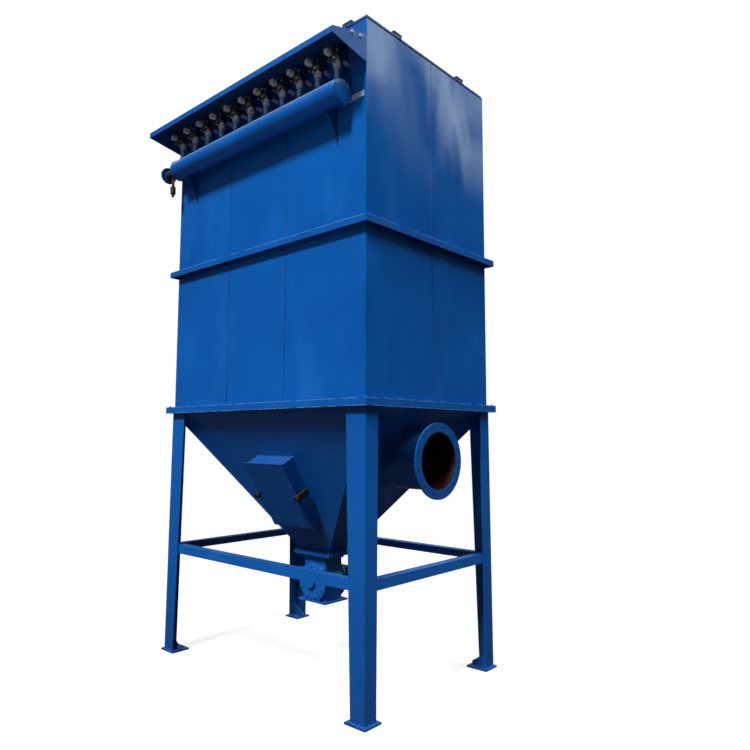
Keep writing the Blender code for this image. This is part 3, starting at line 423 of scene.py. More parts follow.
def valve_coat(name):
    """Grey cast metal, with pale blue painted pipes whose paleness is partly a painted highlight, a
    bright nut and a pale plastic pilot.
    """
    recipe = Recipe(name)
    y, z = recipe.place["Y"], recipe.place["Z"]
    blend, span, times = recipe.blend, recipe.span, recipe.times
    tone = recipe.tone()
    cast = blend(tone, (0.050, 0.054, 0.060), (0.13, 0.14, 0.15))
    # The pipes' pale blue is partly their blue paint and partly a painted highlight.
    blue = blend(tone, (0.16, 0.24, 0.50), (0.26, 0.34, 0.60))
    bright = blend(tone, (0.62, 0.63, 0.65), (0.84, 0.85, 0.86))
    pale = blend(tone, (0.46, 0.48, 0.50), (0.66, 0.68, 0.70))
    pipe = span(z, VALVE_PIPE_TOP, VALVE_PIPE_TOP + SOFT_EDGE, 1.0, 0.0)
    behind = span(y, VALVE_BOWL_BACK, VALVE_BOWL_BACK + SOFT_EDGE)
    painted = recipe.math("MAXIMUM", pipe, behind)
    nut = span(z, VALVE_NUT_TOP, VALVE_NUT_TOP + SOFT_EDGE, 1.0, 0.0)
    nut = times(nut, span(y, VALVE_NUT_FRONT, VALVE_NUT_FRONT + 0.004))
    coil = span(y, VALVE_COIL_BACK, VALVE_COIL_BACK + SOFT_EDGE, 1.0, 0.0)
    colour = blend(painted, blend(nut, cast, bright), blue)
    recipe.put(blend(coil, colour, pale), recipe.shader["Base Color"])
    coated = recipe.math("MAXIMUM", recipe.math("MAXIMUM", painted, coil), times(nut, 0.70))
    bare = recipe.math("SUBTRACT", 1.0, coated)
    recipe.put(times(bare, 0.80), recipe.shader["Metallic"])
    recipe.put(span(tone, 0.0, 1.0, 0.30, 0.48), recipe.shader["Roughness"])
    recipe.grain(520.0, 0.30, 0.0006)
    return recipe.material


valve_finish = valve_coat("valve_finish")
print("valve finish, coil in front of", round(VALVE_COIL_BACK, 3))

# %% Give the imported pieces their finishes
FINISHES = (
    ("hopper_outlet_flange", frame_enamel), ("hopper_", hopper_enamel),
    ("hatch_clamp", rusty_steel), ("hatch_", hopper_enamel),
    ("pulse_valve", valve_finish), ("air_header", header_enamel),
    # The header's tabs: their pale zinc is a painted highlight.
    ("header_air_nozzle", nozzle_enamel), ("header_tab", dull_zinc),
    # The header's brackets take the darker seam blue as painted shade.
    ("header_bracket", seam_enamel), ("header_drain_cock", dark_iron),
    ("rotary_gearmotor", dark_iron), ("inlet_duct", inlet_enamel),
    ("ring_beam", beam_enamel), ("leg_", leg_enamel),
    ("casing_girt", girt_enamel), ("casing_", casing_enamel),
    ("roof_lid", lid_enamel), ("roof_deck", canopy_enamel), ("canopy_roof", canopy_enamel),
)
for name, node in nodes.items():
    finish = next((paint for start, paint in FINISHES if name.startswith(start)), frame_enamel)
    node.data.materials.clear()
    node.data.materials.append(finish)
print("finishes set on", len(nodes), "pieces")

# %% [markdown]
# ## How the added pieces are made
# Weld beads, bolts, seals and fins repeat many times, so each kind is one Geometry Nodes
# tree. A tree starts from bare points or lines that are laid on the steel, puts the shape
# there and joins everything into one plain mesh. Its sizes are named inputs, so that a
# 12 mm bolt and an 8 mm bolt come from the same tree.

# %% A small helper to build Geometry Nodes trees
FULL_TURN = 2 * math.pi


class Plan(Wiring):
    """One Geometry Nodes tree with named sizes; it ends in Realize Instances and Set Material."""

    def __init__(self, name, sizes):
        super().__init__(bpy.data.node_groups.new(name, "GeometryNodeTree"))

        def socket(label, kind, way="INPUT"):
            face = self.tree.interface
            return face.new_socket(label, in_out=way, socket_type="NodeSocket" + kind)

        socket("Geometry", "Geometry")
        for label, value in sizes.items():
            socket(label, "Float").default_value = value
        socket("Seed", "Int").default_value = 7
        socket("Finish", "Material")
        socket("Geometry", "Geometry", "OUTPUT")
        self.given = self.tree.nodes.new("NodeGroupInput").outputs

    def share(self, label, part):
        """A part of one of the named sizes."""
        return self.times(self.given[label], part)

    def raised(self, geometry, height):
        """Move a shape up its own axis."""
        offset = self.node("ShaderNodeCombineXYZ", {"Z": height})
        values = {"Geometry": geometry, "Translation": offset.outputs[0]}
        return self.node("GeometryNodeTransform", values).outputs[0]

    def disc(self, sides, radius, height, base):
        """A short cylinder that stands on a given height."""
        values = {"Vertices": sides, "Radius": radius, "Depth": height}
        made = self.node("GeometryNodeMeshCylinder", values)
        return self.raised(made.outputs["Mesh"], self.math("ADD", base, self.times(height, 0.5)))

    def tube(self, curve, width, sides):
        """A round bar along a curve, with closed ends."""
        section = {"Resolution": sides, "Radius": self.share(width, 0.5)}
        section = self.node("GeometryNodeCurvePrimitiveCircle", section)
        values = {"Curve": curve, "Profile Curve": section.outputs[0], "Fill Caps": True}
        return self.node("GeometryNodeCurveToMesh", values).outputs[0]

    def outward(self, axis="Z"):
        """The turn that points a shape's axis along the point's own direction."""
        out = {"Name": "out"}
        out = self.node("GeometryNodeInputNamedAttribute", out, data_type="FLOAT_VECTOR")
        values = {"Vector": out.outputs["Attribute"]}
        return self.node("FunctionNodeAlignRotationToVector", values, axis=axis).outputs[0]

    def random(self, low, high):
        values = {2: low, 3: high, "Seed": self.given["Seed"]}
        return self.node("FunctionNodeRandomValue", values, data_type="FLOAT").outputs[1]

    def stood(self, shape, turn):
        """Stand a shape on every point."""
        values = {"Points": self.given["Geometry"], "Instance": shape, "Rotation": turn}
        return self.node("GeometryNodeInstanceOnPoints", values).outputs[0]

    def on_points(self, shape):
        """Stand a shape on every point, along the point's own direction, with a random turn."""
        twist = {"Axis": (0.0, 0.0, 1.0), "Angle": self.random(0.0, 6.283)}
        twist = self.node("FunctionNodeAxisAngleToRotation", twist).outputs[0]
        values = {"Rotation": self.outward(), 1: twist}
        turned = self.node("FunctionNodeRotateRotation", values, rotation_space="LOCAL")
        return self.stood(shape, turned.outputs[0])

    def joined(self, *shapes):
        made = self.node("GeometryNodeJoinGeometry")
        for shape in shapes:
            self.put(shape, made.inputs[0])
        return made.outputs[0]

    def close(self, geometry):
        real = self.node("GeometryNodeRealizeInstances", {"Geometry": geometry}).outputs[0]
        values = {"Geometry": real, "Material": self.given["Finish"]}
        painted = self.node("GeometryNodeSetMaterial", values).outputs[0]
        self.put(painted, self.tree.nodes.new("NodeGroupOutput").inputs[0])


print("tree helper ready")

# %% Helpers that run a tree and lay its points and lines


def placed(name, data):
    """Put a new object into the scene."""
    made = bpy.data.objects.new(name, data)
    bpy.context.scene.collection.objects.link(made)
    return made


def grow(name, plan, start, sizes, finish, seed=7, smooth=None):
    """Run a tree on a starting mesh and keep the result as a plain finished mesh."""
    carrier = placed(name, start)
    modifier = carrier.modifiers.new(name, "NODES")
    modifier.node_group = plan.tree
    given = {**sizes, "Seed": seed, "Finish": finish}
    for socket in plan.tree.interface.items_tree:
        if socket.in_out == "INPUT" and socket.name in given:
            modifier[socket.identifier] = given[socket.name]
    bpy.context.view_layer.update()
    evaluated = carrier.evaluated_get(bpy.context.evaluated_depsgraph_get())
    whole = bpy.data.meshes.new_from_object(evaluated)
    carrier.modifiers.clear()
    carrier.data = whole
    if smooth is not None:
        whole.shade_smooth()
        whole.set_sharp_from_angle(angle=math.radians(smooth))
    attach(carrier, "root")
    print(name, len(whole.polygons), "faces")


def points_mesh(places):
    """Bare points for a tree; each place is a point and the direction that it faces."""
    mesh = bpy.data.meshes.new("points")
    mesh.from_pydata([tuple(place) for place, _ in places], [], [])
    facing = mesh.attributes.new("out", "FLOAT_VECTOR", "POINT")
    for k, (_, out) in enumerate(places):
        facing.data[k].vector = out
    return mesh


def lines_mesh(lines):
    """Bare edges for a tree; each line is a list of points, closed where it ends at its start."""
    points, edges = [], []
    for line in lines:
        first = len(points)
        closed = (Vector(line[0]) - Vector(line[-1])).length < 1e-6
        kept = line[:-1] if closed else line
        points += [tuple(point) for point in kept]
        edges += [(first + k, first + k + 1) for k in range(len(kept) - 1)]
        if closed:
            edges.append((first + len(kept) - 1, first))
    mesh = bpy.data.meshes.new("lines")
    mesh.from_pydata(points, edges, [])
    return mesh


def ring(centre, axis, radius, steps=48):
    """A closed line round an axis."""
    axis = Vector(axis).normalized()
    side = axis.orthogonal().normalized()
    other = axis.cross(side)
    centre = Vector(centre)
    turns = [FULL_TURN * k / steps for k in range(steps)] + [0.0]
    return [centre + (side * math.cos(turn) + other * math.sin(turn)) * radius for turn in turns]


def rectangle(low_x, high_x, low_y, high_y):
    """The corners of a closed rectangle, from its lower left corner and back to it."""
    return (low_x, low_y), (high_x, low_y), (high_x, high_y), (low_x, high_y), (low_x, low_y)


def frame_line(low_x, low_y, high_x, high_y, z):
    """A closed level rectangle."""
    return [(x, y, z) for x, y in rectangle(low_x, high_x, low_y, high_y)]


def circle(cx, cy, radius, count, first=0.5):
    """Evenly spaced places on a circle; the first one lies a part of a step past zero."""
    turns = [FULL_TURN * (k + first) / count for k in range(count)]
    return [(cx + radius * math.cos(turn), cy + radius * math.sin(turn)) for turn in turns]


print("helpers for points and lines ready")

# %% [markdown]
# ## Weld beads
# Every plate of the machine is welded to the next one, and the paint covers the beads.
# A bead could be a bump in the paint, but then it would have no edge from the side. Here
# a tree lays a tube along each joint, half sunk in the steel, and gives every ripple its
# own thickness.

# %% Make the tree for weld beads
weld_plan = Plan("weld_bead", {"Bead Width": 0.008, "Ripple Pitch": 0.009, "Unevenness": 0.16})
weld_path = weld_plan.node("GeometryNodeMeshToCurve", {"Mesh": weld_plan.given["Geometry"]})
weld_steps = {"Curve": weld_path.outputs[0], "Length": weld_plan.given["Ripple Pitch"]}
weld_steps = weld_plan.node("GeometryNodeResampleCurve", weld_steps, mode="LENGTH")
thinnest = weld_plan.math("SUBTRACT", 1.0, weld_plan.given["Unevenness"])
thickest = weld_plan.math("ADD", 1.0, weld_plan.given["Unevenness"])
weld_round = {"Curve": weld_steps.outputs[0], "Radius": weld_plan.random(thinnest, thickest)}
weld_round = weld_plan.node("GeometryNodeSetCurveRadius", weld_round)
weld_plan.close(weld_plan.tube(weld_round.outputs[0], "Bead Width", 6))
print("weld tree with", len(weld_plan.tree.nodes), "nodes")


def weld_up(name, joints, width, pitch, seed, finish=frame_enamel, unevenness=0.16):
    """Lay beads of one kind along the given joints."""
    sizes = {"Bead Width": width, "Ripple Pitch": pitch, "Unevenness": unevenness}
    grow(name, weld_plan, lines_mesh(joints), sizes, finish, seed=seed, smooth=60)


# %% Lay the beads of the casing and the hopper
WEST, EAST = -HALF_W, HALF_W
SOUTH, NORTH = MID_Y - HALF_D, MID_Y + HALF_D
SIDES = (-1, 1)
CORNERS = [(sx, sy) for sx in SIDES for sy in SIDES]
hopper_low, hopper_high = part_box("hopper_front")
PLATE_SLANT = 0.0066
MOUTH_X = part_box("hopper_right")[0].x + PLATE_SLANT
MOUTH_Y = 0.0900
BEAD_SUNK = 0.0005
joint_heights = (WALL_FOOT, girt_high.z, beam_low.z - BEAD_SUNK)
casing_joints = [frame_line(WEST, SOUTH, EAST, NORTH, z) for z in joint_heights]
for sx, sy in CORNERS:
    top = (sx * HALF_W, MID_Y + sy * HALF_D, hopper_high.z)
    casing_joints.append([top, (sx * MOUTH_X, MID_Y + sy * MOUTH_Y, hopper_low.z)])
weld_up("casing_welds", casing_joints, 0.009, 0.010, 3)

# %% [markdown]
# The walls are wider than a sheet of steel, so each long wall is made of three sheets and
# each short one of two. Their butt welds are ground nearly flat and show as thin upright
# lines.

# %% Lay the thin sheet seams
SEAM_SHARES = (-0.35 / 1.05, 0.30 / 1.05)
seam_places = [(share * HALF_W, y) for y in (SOUTH, NORTH) for share in SEAM_SHARES]
seam_places += [(x, MID_Y) for x in (WEST, EAST)]
seams = []
for x, y in seam_places:
    for foot, top in ((WALL_FOOT, girt_low.z), (girt_high.z, WALL_TOP)):
        seams.append([(x, y, foot), (x, y, top)])
weld_up("sheet_seams", seams, 0.0050, 0.014, 5, seam_enamel, 0.25)

# %% Collect the joints of the ducts, the header and the canopy
HEADER_RADIUS = (header_high.y - header_low.y) / 2
HEADER_Y = (header_low.y + header_high.y) / 2
HEADER_Z = header_low.z + HEADER_RADIUS
HEADER_DISH = 0.009
HEADER_END = header_high.x - HEADER_DISH
INLET_RADIUS = (duct_high.z - duct_low.z) / 2
inlet_flange_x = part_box("inlet_flange")[0].x
clean_low, clean_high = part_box("clean_air_flange")
CLEAN_Z = (clean_low.z + clean_high.z) / 2
clean_duct_low, clean_duct_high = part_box("clean_air_duct")
CLEAN_RADIUS = (clean_duct_high.z - clean_duct_low.z) / 2
hopper_run = (HALF_W - MOUTH_X) / (hopper_high.z - hopper_low.z)
inlet_joint = []
for point in ring((0, MID_Y, INLET_Z), (1, 0, 0), INLET_RADIUS, 72):
    inlet_joint.append((MOUTH_X + (point.z - hopper_low.z) * hopper_run, point.y, point.z))
small_joints = [inlet_joint, ring((inlet_flange_x, MID_Y, INLET_Z), (1, 0, 0), INLET_RADIUS)]
for y in (NORTH, clean_low.y):
    small_joints.append(ring((0, y, CLEAN_Z), (0, 1, 0), CLEAN_RADIUS))
for x in (-HEADER_END, HEADER_END):
    small_joints.append(ring((x, HEADER_Y, HEADER_Z), (1, 0, 0), HEADER_RADIUS))
canopy_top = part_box("canopy_roof")[1].z
small_joints.append([(WEST, SOUTH, canopy_top), (EAST, SOUTH, canopy_top)])
for name in ("header_bracket_left", "header_bracket_right"):
    low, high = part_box(name)
    for x in (low.x, high.x):
        small_joints.append([(x, SOUTH, low.z), (x, SOUTH, high.z)])
print(len(small_joints), "joints on the ducts, the header and the canopy")

# %% Add the joints of the legs and lay all the small beads
FOOT_BORDER = 0.018
FOOT_STEEL = 0.012
FOOT_JOINT_X, FOOT_JOINT_Y = 0.115, 0.100
LEG_JOINT_X, LEG_JOINT_Y = 0.165, 0.115
LEG_PAST_WALL = 0.0083
foot_low, foot_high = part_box("leg_front_right")


def corner_joint(x, y, z, back_x, back_y):
    """A bead round an outside corner, with a leg of it along each side."""
    return [(x - back_x, y, z), (x, y, z), (x, y - back_y, z)]


for sx, sy in CORNERS:
    small_joints.append(corner_joint(
        sx * (foot_high.x - FOOT_BORDER), MID_Y + sy * (MID_Y - foot_low.y - FOOT_BORDER),
        FOOT_STEEL, sx * FOOT_JOINT_X, sy * FOOT_JOINT_Y,
    ))
    small_joints.append(corner_joint(
        sx * (HALF_W + LEG_PAST_WALL), MID_Y + sy * (HALF_D + LEG_PAST_WALL),
        beam_low.z, sx * LEG_JOINT_X, sy * LEG_JOINT_Y,
    ))
small_joints.append(
    frame_line(-MOUTH_X, MID_Y - MOUTH_Y, MOUTH_X, MID_Y + MOUTH_Y, flange_top)
)
weld_up("duct_and_leg_welds", small_joints, 0.008, 0.008, 11)

# %% [markdown]
# ## Bolts
# The casing is bolted to the beam, and the beam to the hopper's rim. Each bolt has a
# washer, a six-sided head and a chamfered crown. A nut is the same shape with a little
# of the thread standing out of it. The tree turns every bolt by its own amount, as a
# spanner leaves them.

# %% Make the tree for hexagon bolts and nuts


def bolt_size(head, height, washer, washer_height=0.0025, stud=0.0):
    """The named sizes of one kind of bolt or nut."""
    return {
        "Head Width": head, "Head Height": height, "Washer Width": washer,
        "Washer Height": washer_height, "Stud Length": stud,
    }


bolt_plan = Plan("hex_bolt", bolt_size(0.022, 0.008, 0.028))
WASHER_SUNK = -0.0003
head_radius = bolt_plan.share("Head Width", 0.5)
washer_height = bolt_plan.given["Washer Height"]
washer = bolt_plan.disc(16, bolt_plan.share("Washer Width", 0.5), washer_height, WASHER_SUNK)
head = bolt_plan.disc(6, head_radius, bolt_plan.given["Head Height"], washer_height)
crown_base = bolt_plan.math("ADD", washer_height, bolt_plan.given["Head Height"])
crown = {
    "Vertices": 12,
    "Radius Top": bolt_plan.times(head_radius, 0.72),
    "Radius Bottom": bolt_plan.times(head_radius, 0.86),
    "Depth": bolt_plan.share("Head Height", 0.18),
}
crown = bolt_plan.node("GeometryNodeMeshCone", crown).outputs["Mesh"]
stud_radius = bolt_plan.times(head_radius, 0.52)
stud = bolt_plan.disc(10, stud_radius, bolt_plan.given["Stud Length"], crown_base)
bolt_shape = bolt_plan.joined(washer, head, bolt_plan.raised(crown, crown_base), stud)
bolt_plan.close(bolt_plan.on_points(bolt_shape))
print("bolt tree with", len(bolt_plan.tree.nodes), "nodes")


def bolt_up(name, places, size, finish, seed):
    """Put bolts or nuts of one size, as in bolt_size, on the given places."""
    grow(name, bolt_plan, points_mesh(places), bolt_size(*size), finish, seed)


# %% Put the bolts along the beam
UP, DOWN, FORWARD = (0, 0, 1), (0, 0, -1), (0, -1, 0)
BOLT_REACH = 0.028
BOLT_PITCH = 0.150
LEG_TOP_X, LEG_TOP_Y = 0.175, 0.125


def along(low, high, pitch):
    """Evenly spaced places between two ends, about one pitch apart."""
    count = max(1, round((high - low) / pitch))
    return [low + (high - low) * k / count for k in range(count + 1)]


beam_spots = []
for x in along(WEST - BOLT_REACH, EAST + BOLT_REACH, BOLT_PITCH):
    beam_spots += [(x, SOUTH - BOLT_REACH), (x, NORTH + BOLT_REACH)]
for y in along(SOUTH - BOLT_REACH, NORTH + BOLT_REACH, BOLT_PITCH)[1:-1]:
    beam_spots += [(WEST - BOLT_REACH, y), (EAST + BOLT_REACH, y)]
beam_heads = []
for x, y in beam_spots:
    beam_heads.append(((x, y, beam_high.z), UP))
    over_leg = abs(x) > HALF_W - LEG_TOP_X and abs(y - MID_Y) > HALF_D - LEG_TOP_Y
    if not over_leg:
        beam_heads.append(((x, y, beam_low.z), DOWN))
bolt_up("beam_bolts", beam_heads, (0.017, 0.006, 0.021, 0.0016), frame_enamel, 21)

# %% Put the bolts and nuts on the outlet flange
OUTLET_X, OUTLET_Y = 0.171, 0.111
ROTARY_STEEL = 0.012
outlet_shares = [(sx, sy) for sx in (-1, -0.34, 0.34, 1) for sy in SIDES]
outlet_shares += [(sx, sy) for sy in (-0.30, 0.30) for sx in SIDES]
outlet_spots = [(sx * OUTLET_X, MID_Y + sy * OUTLET_Y) for sx, sy in outlet_shares]
outlet_heads = [((x, y, flange_top), UP) for x, y in outlet_spots]
nut_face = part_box("rotary_valve")[1].z - ROTARY_STEEL
outlet_nuts = [((x, y, nut_face), DOWN) for x, y in outlet_spots]
bolt_up("outlet_bolts", outlet_heads, (0.020, 0.008, 0.028), frame_enamel, 23)
bolt_up("outlet_nuts", outlet_nuts, (0.020, 0.008, 0.028, 0.0025, 0.006), frame_enamel, 24)

# %% Put the bolts on the rotary valve's covers and on the canopy's cheeks
motor_low, motor_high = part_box("rotary_gearmotor")
ROTOR_Z = motor_low.z + 0.075
COVER_FACE = 0.110 + 0.012
COVER_CIRCLE = 0.111
COVER_BOLT_COUNT = 8
CHEEK_BOLTS = ((-0.807, 4.145), (-0.730, 4.155))
cover_bolts = []
for x, z in circle(0.0, ROTOR_Z, COVER_CIRCLE, COVER_BOLT_COUNT):
    cover_bolts += [((x, MID_Y + sy * COVER_FACE, z), (0, sy, 0)) for sy in SIDES]
bolt_up("rotor_cover_bolts", cover_bolts, (0.016, 0.006, 0.019, 0.002), frame_enamel, 25)
cheek_bolts = [((sx * HALF_W, MID_Y + y, z), (sx, 0, 0)) for sx in SIDES for y, z in CHEEK_BOLTS]
bolt_up("canopy_cheek_bolts", cheek_bolts, (0.024, 0.008, 0.036), dull_zinc, 26)

# %% [markdown]
# ## Pulse valves
# Each valve is a cast bowl with a bolted cover. A thin pipe brings air up from the
# header, with a union nut at its top, and a larger one goes back through the wall to the
# blow pipe. A solenoid sits on the cover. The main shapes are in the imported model, and
# here come the parts that are too small for it: the cover bolts, the union nuts, and the
# coil with its cap and its cable gland.

# %% Put the bolts on the valve covers
LUG_COUNT = 6
LUG_CIRCLE = 0.045
VALVE_COVER_Y = HEADER_Y - 0.040
valve_names = sorted(name for name in nodes if name.startswith("pulse_valve"))
valve_xs = [(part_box(name)[0].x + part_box(name)[1].x) / 2 for name in valve_names]
lug_bolts = []
for x in valve_xs:
    for lug_x, lug_z in circle(x, VALVE_Z, LUG_CIRCLE, LUG_COUNT):
        lug_bolts.append(((lug_x, VALVE_COVER_Y, lug_z), FORWARD))
lug_size = (0.013, 0.005, 0.016, 0.0012)
bolt_up("valve_cover_bolts", lug_bolts, lug_size, bright_steel, 31)

# %% Make the tree for the coils and put one on every valve
coil_plan = Plan("pilot_coil", {"Coil Width": 0.036, "Coil Length": 0.030})
COIL_RIBS = 5
COIL_BACK = 0.034
coil_radius = coil_plan.share("Coil Width", 0.5)
coil_rings = []
for k in range(COIL_RIBS):
    start = coil_plan.share("Coil Length", k / COIL_RIBS)
    width = coil_plan.times(coil_radius, 1.0 if k % 2 == 0 else 0.90)
    coil_rings.append(coil_plan.disc(20, width, coil_plan.share("Coil Length", 0.205), start))
coil_plan.close(coil_plan.on_points(coil_plan.joined(*coil_rings)))
coils = [((x, valve_low.y + COIL_BACK, VALVE_Z), FORWARD) for x in valve_xs]
coil_size = {"Coil Width": 0.037, "Coil Length": 0.030}
grow("valve_coils", coil_plan, points_mesh(coils), coil_size, pale_plastic, 32, 30)

# %% Add the caps, the union nuts and the cable glands
CAP_BACK, GLAND_MIDDLE = 0.0065, 0.019
GLAND_RISE, UNION_DROP = 0.0155, 0.067
caps = [((x, valve_low.y + CAP_BACK, VALVE_Z), FORWARD) for x in valve_xs]
bolt_up("coil_caps", caps, (0.016, 0.0040, 0.024, 0.0015), zinc_plate, 33)
unions = [((x, HEADER_Y, VALVE_Z - UNION_DROP), UP) for x in valve_xs]
bolt_up("union_nuts", unions, (0.050, 0.019, 0.044, 0.003), zinc_plate, 36)
glands = [((x, valve_low.y + GLAND_MIDDLE, VALVE_Z + GLAND_RISE), UP) for x in valve_xs]
bolt_up("coil_glands", glands, (0.017, 0.010, 0.020, 0.004, 0.005), black_plastic, 34)

# %% Weld the valve pipes to the header and the wall
PIPE_RADIUS = 0.0185
pipe_joints = []
for x in valve_xs:
    pipe_joints.append(ring((x, HEADER_Y, valve_low.z), UP, PIPE_RADIUS, 20))
    pipe_joints.append(ring((x, SOUTH, VALVE_Z), (0, 1, 0), PIPE_RADIUS, 20))
weld_up("valve_pipe_welds", pipe_joints, 0.006, 0.006, 35)

# %% [markdown]
# ## Bored flanges
# The inlet and the clean-air outlet end in flat rings with a circle of bolt holes, ready
# for the ducts of the plant. Holes painted on would look flat from the side, so each ring
# is cut as a flat shape with real holes and then pushed out to its thickness.

# %% Cut the two flanges
RING_STEPS = 72
HOLE_STEPS = 12
HOLE_COUNT = 12
EDGE_ROUNDING = 0.0012


def bored_flange(node, axis, bore, outside, hole_circle, hole, finish):
    """A flat ring with bolt holes that takes the place of a packed flange."""
    name = node + "_bored"
    low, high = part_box(node)
    shape = bmesh.new()

    def loop(radius, steps, cx=0.0, cy=0.0):
        points = [shape.verts.new((x, y, 0)) for x, y in circle(cx, cy, radius, steps, 0)]
        return [shape.edges.new((points[k], points[(k + 1) % steps])) for k in range(steps)]

    edges = loop(outside, RING_STEPS) + loop(bore, RING_STEPS)
    for x, y in circle(0.0, 0.0, hole_circle, HOLE_COUNT):
        edges += loop(hole, HOLE_STEPS, x, y)
    bmesh.ops.triangle_fill(shape, use_beauty=True, use_dissolve=False, edges=edges)
    thickness = high.x - low.x if axis == "x" else high.y - low.y
    pushed = bmesh.ops.extrude_face_region(shape, geom=shape.faces[:])
    moved = [item for item in pushed["geom"] if isinstance(item, bmesh.types.BMVert)]
    bmesh.ops.translate(shape, vec=(0, 0, thickness), verts=moved)
    bmesh.ops.recalc_face_normals(shape, faces=shape.faces[:])
    centre = (low + high) / 2
    if axis == "x":
        turn = Matrix(((0, 0, 1, low.x), (1, 0, 0, centre.y), (0, 1, 0, centre.z), (0, 0, 0, 1)))
    else:
        turn = Matrix(((-1, 0, 0, centre.x), (0, 0, 1, low.y), (0, 1, 0, centre.z), (0, 0, 0, 1)))
    shape.transform(turn)
    mesh = bpy.data.meshes.new(name)
    shape.to_mesh(mesh)
    shape.free()
    mesh.materials.append(finish)
    piece = placed(name, mesh)
    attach(piece, "root")
    rounding = piece.modifiers.new("edges", "BEVEL")
    rounding.width = EDGE_ROUNDING
    rounding.segments = 1
    rounding.limit_method = "ANGLE"
    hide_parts(node)
    print(name, HOLE_COUNT, "holes")


bored_flange(
    "inlet_flange", "x", bore=0.1953, outside=0.255, hole_circle=0.2275, hole=0.0075,
    finish=inlet_enamel,
)
bored_flange(
    "clean_air_flange", "y", bore=0.2053, outside=0.250, hole_circle=0.2285, hole=0.0065,
    finish=frame_enamel,
)

# %% [markdown]
# ## Seals
# The roof lids and the hatch cover press on strips of black rubber. The strip bulges a
# little out of the joint and gives the dark line that the eye expects there.

# %% Make the tree for seals, and lay the lid seals
seal_plan = Plan("bent_rod", {"Rod Width": 0.008, "Bend Radius": 0.012})
seal_path = seal_plan.node("GeometryNodeMeshToCurve", {"Mesh": seal_plan.given["Geometry"]})
seal_bend = {"Curve": seal_path.outputs[0], "Count": 5, "Radius": seal_plan.given["Bend Radius"]}
seal_bend = seal_plan.node("GeometryNodeFilletCurve", seal_bend, mode="POLY")
seal_plan.close(seal_plan.tube(seal_bend.outputs[0], "Rod Width", 10))
SEAL_RISE = 0.002


def seal_up(name, lines, width, bend, seed):
    """Lay strips of rubber along the given lines."""
    sizes = {"Rod Width": width, "Bend Radius": bend}
    grow(name, seal_plan, lines_mesh(lines), sizes, black_rubber, seed, 40)


lid_seals = []
for name in sorted(name for name in nodes if name.startswith("roof_lid")):
    low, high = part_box(name)
    lid_seals.append(frame_line(low.x, low.y, high.x, high.y, low.z + SEAL_RISE))
seal_up("lid_seals", lid_seals, 0.007, 0.006, 41)

# %% Find the hatch cover's own directions and lay its seal
cover_mesh = bmesh.new()
cover_mesh.from_mesh(nodes["hatch_cover"].data)
bmesh.ops.remove_doubles(cover_mesh, verts=cover_mesh.verts, dist=1e-5)
largest = max(
    cover_mesh.faces, key=lambda face: face.calc_area() * (1.0 if face.normal.y < 0 else 0.5)
)
COVER_OUT = largest.normal.copy()
COVER_SIDE = Vector((1, 0, 0))
COVER_UP = COVER_OUT.cross(COVER_SIDE).normalized()
if COVER_UP.z < 0:
    COVER_UP = -COVER_UP
heights = [vert.co.dot(COVER_UP) for vert in cover_mesh.verts]
COVER_BACK = min(vert.co.dot(COVER_OUT) for vert in cover_mesh.verts)
cover_mesh.free()
SEAL_EDGE = 0.012
chute_low, chute_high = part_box("hatch_chute")
seal_foot, seal_top = min(heights) + SEAL_EDGE, max(heights) - SEAL_EDGE
hatch_seal = [
    COVER_SIDE * x + COVER_UP * up + COVER_OUT * COVER_BACK
    for x, up in rectangle(chute_low.x, chute_high.x, seal_foot, seal_top)
]
seal_up("hatch_seal", [hatch_seal], 0.010, 0.012, 42)
print("hatch cover faces", tuple(round(v, 3) for v in COVER_OUT))

# %% Weld the hatch chute to the hopper plate
HATCH_LENGTH = 0.530
plate_run = (HALF_D - MOUTH_Y) / (hopper_high.z - hopper_low.z)
plate_up = Vector((0, -plate_run, 1)).normalized()
hatch_foot_z = chute_high.z - HATCH_LENGTH * plate_up.z
chute_joint = [
    Vector((x, MID_Y - MOUTH_Y - (z - hopper_low.z) * plate_run, z))
    for x, z in rectangle(chute_low.x, chute_high.x, hatch_foot_z, chute_high.z)
]
weld_up("hatch_welds", [chute_joint], 0.008, 0.008, 43, hopper_enamel)

# %% [markdown]
# ## Fins on the motor
# The motor behind the rotary valve sheds its heat through thin fins along its barrel.
# They are thin plates of one shape, so a tree stands one on every point round the barrel.

# %% Make the fins
FIN_COUNT = 22
FIN_X = 0.165
MOTOR_RADIUS = 0.065
MOTOR_Y = motor_high.y - MOTOR_RADIUS
MOTOR_Z = (motor_low.z + motor_high.z) / 2
fin_plan = Plan("motor_fins", {"Fin Length": 0.15, "Fin Height": 0.012, "Fin Steel": 0.003})
fin_size = {"X": "Fin Steel", "Y": "Fin Length", "Z": "Fin Height"}
fin_size = {axis: fin_plan.given[label] for axis, label in fin_size.items()}
fin_size = fin_plan.node("ShaderNodeCombineXYZ", fin_size).outputs[0]
fin = fin_plan.node("GeometryNodeMeshCube", {"Size": fin_size}).outputs["Mesh"]
fin_lie = {"Rotation": fin_plan.outward(), "Vector": (1.0, 0.0, 0.0)}
fin_lie = fin_plan.node("FunctionNodeAlignRotationToVector", fin_lie, axis="Y", pivot_axis="Z")
fin_plan.close(fin_plan.stood(fin, fin_lie.outputs[0]))
fin_reach = MOTOR_RADIUS + 0.001
FIN_TIP, TIP_ROOM = 0.006, 0.004
fin_places = []
for k in range(FIN_COUNT):
    turn = math.pi * (k / (FIN_COUNT - 1) * 1.5 - 0.25)
    out = Vector((0, math.cos(turn), math.sin(turn)))
    if MOTOR_Y + out.y * (fin_reach + FIN_TIP) < motor_high.y + TIP_ROOM:
        fin_places.append((Vector((FIN_X, MOTOR_Y, MOTOR_Z)) + out * fin_reach, out))
